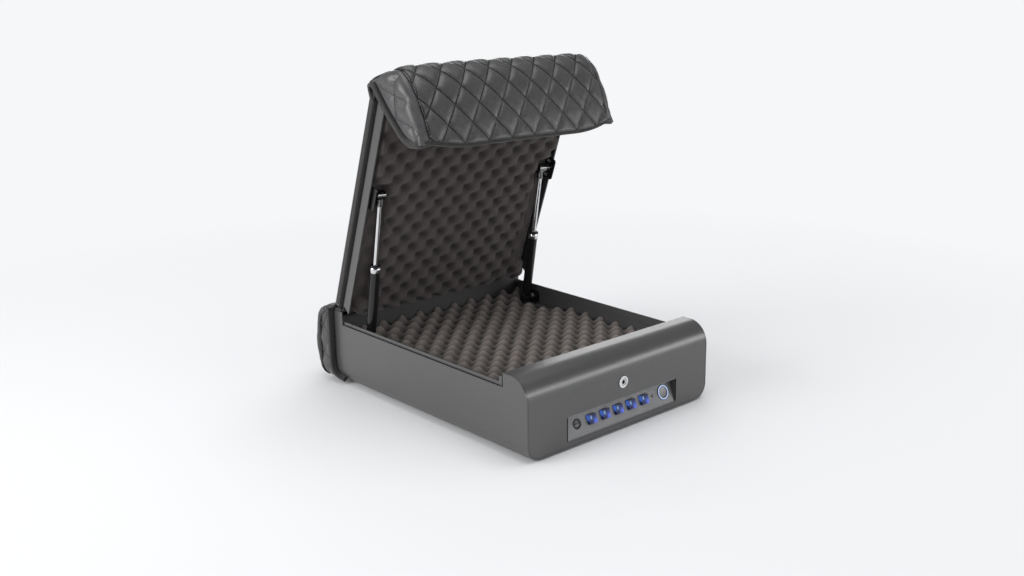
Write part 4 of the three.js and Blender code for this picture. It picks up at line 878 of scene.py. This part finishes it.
def stitched(seams, base, place):  # on both sides, a little proud of the leather
    return seamLines([smoothPath(line, 40) for line in seams], base + 0.25, place)


coverSkin, hoodPiping, lowerEdge, edgeOutward = makeCoverSkin(cover)
lidTape, lidStitches = makeLidTape(lidBinding)
hoodGussets = makeGussets(gusset)
hoodTape, tapeStitches = makeHoodTrim(lowerEdge, edgeOutward, trim)
hoodStitches = sewn("hoodStitches", tapeStitches + stitched(gussetSeams, gusset["base"], hangPlace))
print("cover:", len(coverSkin.data.polygons), "faces")


# the tail round the case's rear
tail = {
    "front": 373, "depth": 36, "bottom": 4.2, "height": 99.3, "half": 157.2, "edgeRound": 4.5, "endRound": 3,
    "step": 2.1, "cellAcross": 35.8, "cellAlong": 47, "latticeShift": 0, "seamDepth": 2.8, "pucker": 0.2,
    "roll": 24.3, "rearFace": 395.3, "caseTop": 98.3, "thinnest": 0.8,
}
tailShares = [
    (0.622, 0), (0.72, 0.043), (0.85, 0.13), (0.945, 0.26), (1, 0.43),
    (0.955, 0.65), (0.79, 0.86), (0.42, 0.985), (0, 1),
]
tailFront = [
    (356, 6.4), (363.5, 8.4), (369.4, 13), (373.4, 21), (375.2, 34), (375.2, 60), (375.2, 82), (375.2, 101.5),
]
tailSeams = [
    [(378, 97), (391, 76), (404, 57)], [(398, 88), (391, 76), (377, 60)], [(377, 60), (391, 41), (403, 25)],
    [(404, 57), (391, 41), (377, 26)], [(377, 26), (388, 11)], [(403, 25), (394, 11)],
]


def makeTail(k):
    outline = [(k["front"] + a * k["depth"], k["bottom"] + b * k["height"]) for a, b in tailShares]
    turn = np.linspace(0, math.pi / 2, 16)
    total = runAlong(outline)[-1]
    outer = smoothPath(outline, int(total / k["step"]))
    rolled = k["roll"] * (1 - np.array([np.cos(turn), np.sin(turn)]))
    corner = np.column_stack([k["rearFace"] - rolled[0], k["caseTop"] - rolled[1]])
    inner = evenly([(k["rearFace"] - 0.1, k["bottom"]), *corner, (k["front"], k["caseTop"])], len(outer))
    normal = facing(outer, len(outer) // 2)
    s, t = np.meshgrid(np.linspace(0, total, len(outer)), quiltStops(k["half"], k), indexing="ij")
    x = t * k["half"]
    p, q = lattice(x, s, k)
    drop = k["seamDepth"] * (1 - quiltHeight(p, q)) + k["pucker"] * seamPucker(p, q, k["cellAlong"])
    drop = drop + roundedEdge((1 - np.abs(t)) * k["half"], k["edgeRound"])
    drop = drop + roundedEdge(np.minimum(s, total - s), k["endRound"])
    drop = np.minimum(drop, np.linalg.norm(outer - inner, axis=1)[:, None] - k["thinnest"])
    outside = tailPlace(x, *(outer[:, None, i] - normal[:, None, i] * drop for i in (0, 1)))
    inside = tailPlace(x, *(inner[:, None, i] + 0 * x for i in (0, 1)))
    return shell("tailBack", outside, inside, np.dstack([x, s]) * mm, [leather, lining], np.dstack([p, q]))


tailSide = {
    "rows": 80, "columns": 36, "puff": 2.6, "soft": 5, "base": 154.9, "inner": 150.4, "edgeRound": 2.4,
    "wrap": 0.3, "sharper": 1.5, "over": 0.8,
}


def makeTailSides(k):
    depth, low, high = tail["depth"] - k["sharper"], tail["bottom"] + 1, tail["height"] - 2
    outline = [(tail["front"] + a * depth, low + b * high, k["base"]) for a, b in tailShares[1:-1]]
    rear = [(y + k["over"], z + k["over"]) for y, z in tailFront]
    return sidePatch("tailSide", outline, rear, tailSeams, tailPlace, k)


tailBinding = {"half": 154.3, "section": (3.2, 3.5, 16, 3), "seam": 1.9, "threadHalf": 157.9}


def makeTailTrim(k):
    line = smoothPath(tailFront, 80)
    seams = [line + shift * sidewards(line) for shift in (-k["seam"], k["seam"])]
    section = roundSection(*k["section"])
    tape = bothSides("tailTape", tailPlace, k["half"], line.T, (1, 0, 0), section, bindingTape)
    return tape, seamLines(seams, k["threadHalf"], tailPlace)


tailBack = makeTail(tail)
tailSides = makeTailSides(tailSide)
tailTape, tailTapeStitches = makeTailTrim(tailBinding)
tailStitches = sewn("tailStitches", tailTapeStitches + stitched(tailSeams, tailSide["base"], tailPlace))
print("tail:", len(tailBack.data.polygons), "faces")


# the cover's web over the hinge
web = {
    "half": 147.9, "front": 359.6, "rear": 372.7, "low": 98.3, "high": 100.1, "edgeRound": 0.8,
    "rows": 22, "wave": 0.35, "sheetHalf": 0.5,
    "slack": [(375.5, 102.6), (373.4, 103.6), (371.6, 105.3), (370.6, 107.4), (369.0, 108.6), (366.8, 108.0)],
}


def makeHingeStrip(k):
    x, y = np.meshgrid(np.linspace(-k["half"], k["half"], 90), np.linspace(k["front"], k["rear"], 12))
    drop = roundedEdge(np.minimum(y - k["front"], k["rear"] - y), k["edgeRound"])
    top = k["high"] - drop + 0.12 * ripple(x / 8, y / 8, 0.8)
    uv = np.dstack([x, y]) * mm
    return shell("hingeStrip", rowPlace(x, y, top), rowPlace(x, y, k["low"]), uv, [smoothLeather, lining])


def makeHingeWeb(k):  # slack leather between the tail and the lid's cover
    path = smoothPath(k["slack"], k["rows"])
    s, x = np.meshgrid(np.arange(k["rows"]), np.linspace(-k["half"], k["half"], 100), indexing="ij")
    normal = facing(path, 10)
    wave = k["wave"] * ripple(x / 15, s / 6, 0.9)
    skins = []
    for lift in (k["sheetHalf"], -k["sheetHalf"]):
        skins.append(rowPlace(x, *(path[:, None, i] + normal[:, None, i] * (wave + lift) for i in (0, 1))))
    return shell("hingeWeb", *skins, np.dstack([x, s]) * mm, [smoothLeather, lining])


hingeStrip = makeHingeStrip(web)
hingeWeb = makeHingeWeb(web)


# the struts' bright collars and black caps
strut = {
    "x": 132, "y": 318, "z": 68, "direction": (0, -0.176498, 0.984301),
    "collar": [(91.5, 6.35), (91.9, 6.7), (98.3, 6.7), (98.6, 6.35)],
    "cap": [(98.5, 6.3), (98.8, 6.6), (100.6, 6.6), (101.4, 5.6), (101.5, 3.2)],
}


def lathe(name, origin, axis, profile, material):  # profile points are (distance along, radius) in mm
    sides = 48
    axis = Vector(axis).normalized()
    first = axis.orthogonal().normalized()
    turn = np.linspace(0, 2 * np.pi, sides, endpoint=False)
    ring = np.outer(np.cos(turn), first) + np.outer(np.sin(turn), axis.cross(first))
    rings = [np.array(origin) + (np.array(axis) * along + ring * radius) * mm for along, radius in profile]
    faces = gridFaces(len(profile), sides, closed=True).tolist()
    faces += [list(range(sides)), list(range((len(profile) - 1) * sides, len(profile) * sides))]
    return outwards(newObject(name, rings, faces, [material]))


collars = {}
for side, x in (("left", -strut["x"]), ("right", strut["x"])):
    origin = rowPlace(x, strut["y"], strut["z"])
    collars[side] = [
        lathe("strutCollar_" + side, origin, strut["direction"], strut["collar"], chrome),
        lathe("strutCap_" + side, origin, strut["direction"], strut["cap"], blackPaint),
    ]

# painted shadow: a black strip along each wall's top, for the shade in the gap beside its lip
lipGap = {"half": 148.95, "start": 48, "end": 349, "height": 81.15, "section": (0.95, 0.3, 12, 3)}
lipLine = (np.linspace(lipGap["start"], lipGap["end"], 40), lipGap["height"])
lipSection = roundSection(*lipGap["section"])
lipGapShadows = bothSides("lipGapShadows", rowPlace, lipGap["half"], lipLine, (0, 0, 1), lipSection, blackPaint)


# what shows as CAD made it: soft edges and finishes
def edgeTree():  # shades smooth over edges flatter than the limit
    inputs = {"Geometry": "Geometry", "Sharpest angle": "Float"}
    tree, given = newTree("smoothOverFlatEdges", inputs, "Geometry")
    tree.interface.items_tree["Sharpest angle"].default_value = math.radians(32)
    angle = addNode(tree, "GeometryNodeInputMeshEdgeAngle").outputs["Unsigned Angle"]
    values = {0: angle, 1: given["Sharpest angle"]}
    flat = addNode(tree, "FunctionNodeCompare", values, data_type="FLOAT", operation="LESS_THAN").outputs[0]
    values = {"Geometry": given["Geometry"]}
    values["Geometry"] = addNode(tree, "GeometryNodeSetShadeSmooth", values, domain="FACE").outputs[0]
    values["Shade Smooth"] = flat
    edges = addNode(tree, "GeometryNodeSetShadeSmooth", values, domain="EDGE").outputs[0]
    addNode(tree, "NodeGroupOutput", {"Geometry": edges})
    return tree


smoothOverFlatEdges = edgeTree()


def softEdges(node, width):
    if node.data.attributes.get("custom_normal"):
        node.data.attributes.remove(node.data.attributes["custom_normal"])
    weld = node.modifiers.new("weld", "WELD")
    weld.merge_threshold = 0.01 * mm
    bevel = node.modifiers.new("softEdge", "BEVEL")
    bevel.width = width * mm
    bevel.segments = 2
    bevel.limit_method = "ANGLE"
    bevel.angle_limit = math.radians(40)
    bevel.use_clamp_overlap = True
    smooth = node.modifiers.new("shading", "NODES")
    smooth.node_group = smoothOverFlatEdges
    # the wide faces stay flat beside their soft edges
    node.modifiers.new("flatFaces", "WEIGHTED_NORMAL").keep_sharp = True


def ringGlow():  # a pale blue line of light set into the sensor's dark ring
    ringLow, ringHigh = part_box("fingerprint_light_ring")
    glow = Finish("ringGlow", (0.03, 0.031, 0.035), 0.3, Emission_Color=(0.42, 0.6, 1.0, 1))
    reach = glow.around((ringLow + ringHigh) / 2, keypad["lean"])[0]
    fromLine = glow.math("ABSOLUTE", glow.math("SUBTRACT", reach, keypad["ring"] * mm))
    line = glow.ramp(fromLine, *inMetres(keypad["ringLight"]), 1, 0)
    glow.set(Emission_Strength=glow.math("MULTIPLY", line, glow.spread(glow.noise(300), 0.72, 1.0)))
    return glow.material


# the socket's front face lies in the tilted plate
plateTilt = math.atan2(12, 32)
socketRadius = 6 * mm
socketLow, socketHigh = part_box("power_socket")
socketAt = (socketLow + socketHigh) / 2
socketAt.y = socketLow.y + socketRadius * math.sin(plateTilt)
socketAt.z = socketHigh.z - socketRadius * math.cos(plateTilt)


def socketFace():  # a black ring round a grey disc with one slot, dark as painted shade
    face = Finish("socketFace", (0.008, 0.008, 0.009), 0.3)
    reach, up = face.around(socketAt, keypad["lean"])
    disc = face.ramp(reach, *inMetres(keypad["disc"]), 1, 0)
    # painted shade: the dark slot
    beyond = face.math("SUBTRACT", reach, keypad["slotHalf"] * mm)
    fromSlot = face.math("MAXIMUM", face.math("ABSOLUTE", up), beyond)
    grey = face.math("MULTIPLY", disc, face.ramp(fromSlot, *inMetres(keypad["slotEdge"]), 0, 1))
    face.set(
        Base_Color=face.blend(grey, (0.008, 0.008, 0.009), (0.15, 0.151, 0.155)),
        Roughness=face.spread(face.noise(500, 4), 0.24, 0.36),
    )
    return face.material


def leftRight(*names):
    return [f"{name}_{side}" for name in names for side in ("left", "right")]


finishes = {
    powderCoat: ["case_shell", "front_panel", "rear_panel", "lid_shell", *leftRight("rim_lip")],
    traySteel: ["tray_front_wall", "tray_rear_wall"],
    blackPaint: leftRight("upper_bracket", "lower_bracket"),
    zincSteel: [
        "hinge_leaf_case", "hinge_leaf_lid", "hinge_pin", "lock_nut", "lock_cam", "latch_bar", "latch_crank",
        "latch_motor", *leftRight("bracket_screw_front", "bracket_screw_rear"),
    ],
    chrome: ["lock_barrel", *leftRight("strut_rod", "upper_ball_stud", "lower_ball_stud")],
    strutPaint: leftRight("strut_cylinder"),
    darkChrome: leftRight("strut_rod_end"),
    lockCore: ["lock_plug"],
    keypadPlastic: ["keypad_plate", "status_light"],
    socketPlastic: ["battery_box", "power_socket"],
    sensorGlass: ["fingerprint_reader"],
    footRubber: leftRight("foot_front", "foot_rear"),
    boardGreen: ["control_board"],
    litKey: [f"key_{number}" for number in range(1, 6)],
    ringGlow(): ["fingerprint_light_ring"],
}
intoPlate = (0, math.cos(plateTilt), -math.sin(plateTilt))
socketDisc = lathe("socketDisc", socketAt, intoPlate, [(0.9, 4.95), (1.5, 4.95)], socketFace())
largeSheets = finishes[powderCoat][:4]
edgeWidths = {**dict.fromkeys(largeSheets, 0.5), "keypad_plate": 0.25}
for material, names in finishes.items():
    for name in names:
        nodes[name].data.materials.clear()
        nodes[name].data.materials.append(material)
        softEdges(nodes[name], edgeWidths.get(name, 0.3))
print("CAD nodes dressed:", sum(len(names) for names in finishes.values()))


# what rides on what
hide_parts("tray_foam")
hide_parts("lid_foam")
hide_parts("lid_cover", "cover_hood")
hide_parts("cover_tail")
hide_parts("cover_hinge_strip")
for piece in (trayFoamPad, tailBack, *tailSides, tailTape, tailStitches, hingeStrip, lipGapShadows, socketDisc):
    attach(piece, "case")
for piece in (lidFoamPad, lidTape, lidStitches):
    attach(piece, "lid")
for piece in (*hoodGussets, hoodTape, hoodStitches, hoodPiping):
    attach(piece, "hood")
for side, pieces in collars.items():
    for piece in pieces:
        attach(piece, "strut_barrel_" + side)
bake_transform(coverSkin)
Vector(rowPlace(0, 373.6, 103.4))
Vector(rowPlace(0, 368.8, 108.2))
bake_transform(hingeWeb)


# studio
studio = {
    "floorSeen": 0.63, "floorBounce": 0.62, "floorMirrored": 0.58, "floorSize": 40,
    "farFrom": 0.38, "farTo": 1.15, "worldLight": 0.76, "worldSeen": 0.94, "worldMirrored": 0.16,
}


def addFloor(k):  # lit and shaded near the object, plain white further off
    paint = Finish("floorPaint", (0.86, 0.87, 0.885), 0.5, Specular_IOR_Level=0)
    rays = paint.node("ShaderNodeLightPath").outputs
    seen = shade((0.985, 0.993, 1.008), k["floorSeen"])
    tone = paint.blend(rays["Is Camera Ray"], (k["floorBounce"],) * 3, seen)
    tone = paint.blend(rays["Is Glossy Ray"], tone, (k["floorMirrored"],) * 3)
    paint.set(Base_Color=tone, Roughness=paint.spread(paint.noise(3), 0.45, 0.55))
    distance = paint.node("ShaderNodeVectorMath", {0: paint.coordinates}, operation="LENGTH").outputs["Value"]
    far = paint.math("MULTIPLY", paint.ramp(distance, k["farFrom"], k["farTo"], 0, 1), rays["Is Camera Ray"])
    white = paint.node("ShaderNodeEmission", {"Color": (0.9215, 0.93, 0.947, 1)}).outputs[0]
    mixed = paint.node("ShaderNodeMixShader", {0: far, 1: paint.shader.outputs[0], 2: white}).outputs[0]
    paint.link(mixed, paint.tree.nodes["Material Output"].inputs["Surface"])
    size = k["floorSize"]
    corners = [(-size, -size, 0), (size, -size, 0), (size, size, 0), (-size, size, 0)]
    floor = newObject("studioFloor", corners, [(0, 1, 2, 3)], [paint.material], smooth=False)


def addWorld(k):  # one strength as a light, others behind the object and in its reflections
    world = bpy.data.worlds.new("studioWorld")
    bpy.context.scene.world = world
    world.use_nodes = True
    tree = world.node_tree
    rays = addNode(tree, "ShaderNodeLightPath").outputs
    strength = k["worldLight"]
    for ray, aim in (("Is Camera Ray", "worldSeen"), ("Is Glossy Ray", "worldMirrored")):
        values = {0: rays[ray], 1: k[aim] - k["worldLight"], 2: strength}
        strength = addNode(tree, "ShaderNodeMath", values, operation="MULTIPLY_ADD").outputs[0]
    background = tree.nodes["Background"]
    background.inputs["Color"].default_value = (0.975, 0.985, 1, 1)
    tree.links.new(strength, background.inputs["Strength"])


softboxes = {
    "leftSoftbox": {"place": (-2.05, 0.45, 0.95), "aim": (0, 0, 0.15), "size": (1.6, 1.0), "power": 40},
    "topSoftbox": {"place": (0.1, -0.2, 2.2), "aim": (0, 0, 0.1), "size": (1.5, 1.5), "power": 20},
    "frontSoftbox": {"place": (1.5, -1.75, 0.55), "aim": (0, 0, 0.1), "size": (2.2, 0.45), "power": 16},
    "backSoftbox": {"place": (1.75, 1.7, 0.95), "aim": (0, 0, 0.1), "size": (1.6, 0.5), "power": 11},
}


def addLight(name, k):
    light = bpy.data.lights.new(name, "AREA")
    light.shape = "RECTANGLE"
    light.size, light.size_y = k["size"]
    light.energy = k["power"]
    lamp = inScene(name, light)
    lamp.location = k["place"]
    lamp.rotation_euler = (Vector(k["aim"]) - Vector(k["place"])).to_track_quat("-Z", "Y").to_euler()


view = {
    "place": (-0.95065, -1.10897, 0.54648), "down": 15.8915, "turn": -44.2234,
    "lens": 42.078, "shift": -0.06662,
}


def addCamera(k):
    camera = bpy.data.cameras.new("camera")
    camera.sensor_width = 36
    camera.lens = k["lens"]
    camera.shift_x = k["shift"]
    camera.clip_start, camera.clip_end = 0.05, 200
    eye = inScene("camera", camera)
    eye.location = k["place"]
    eye.rotation_euler = (math.radians(90 - k["down"]), 0, math.radians(k["turn"]))
    bpy.context.scene.camera = eye


addFloor(studio)
addWorld(studio)
for name, values in softboxes.items():
    addLight(name, values)
addCamera(view)
bpy.context.scene.view_settings.view_transform = "Standard"
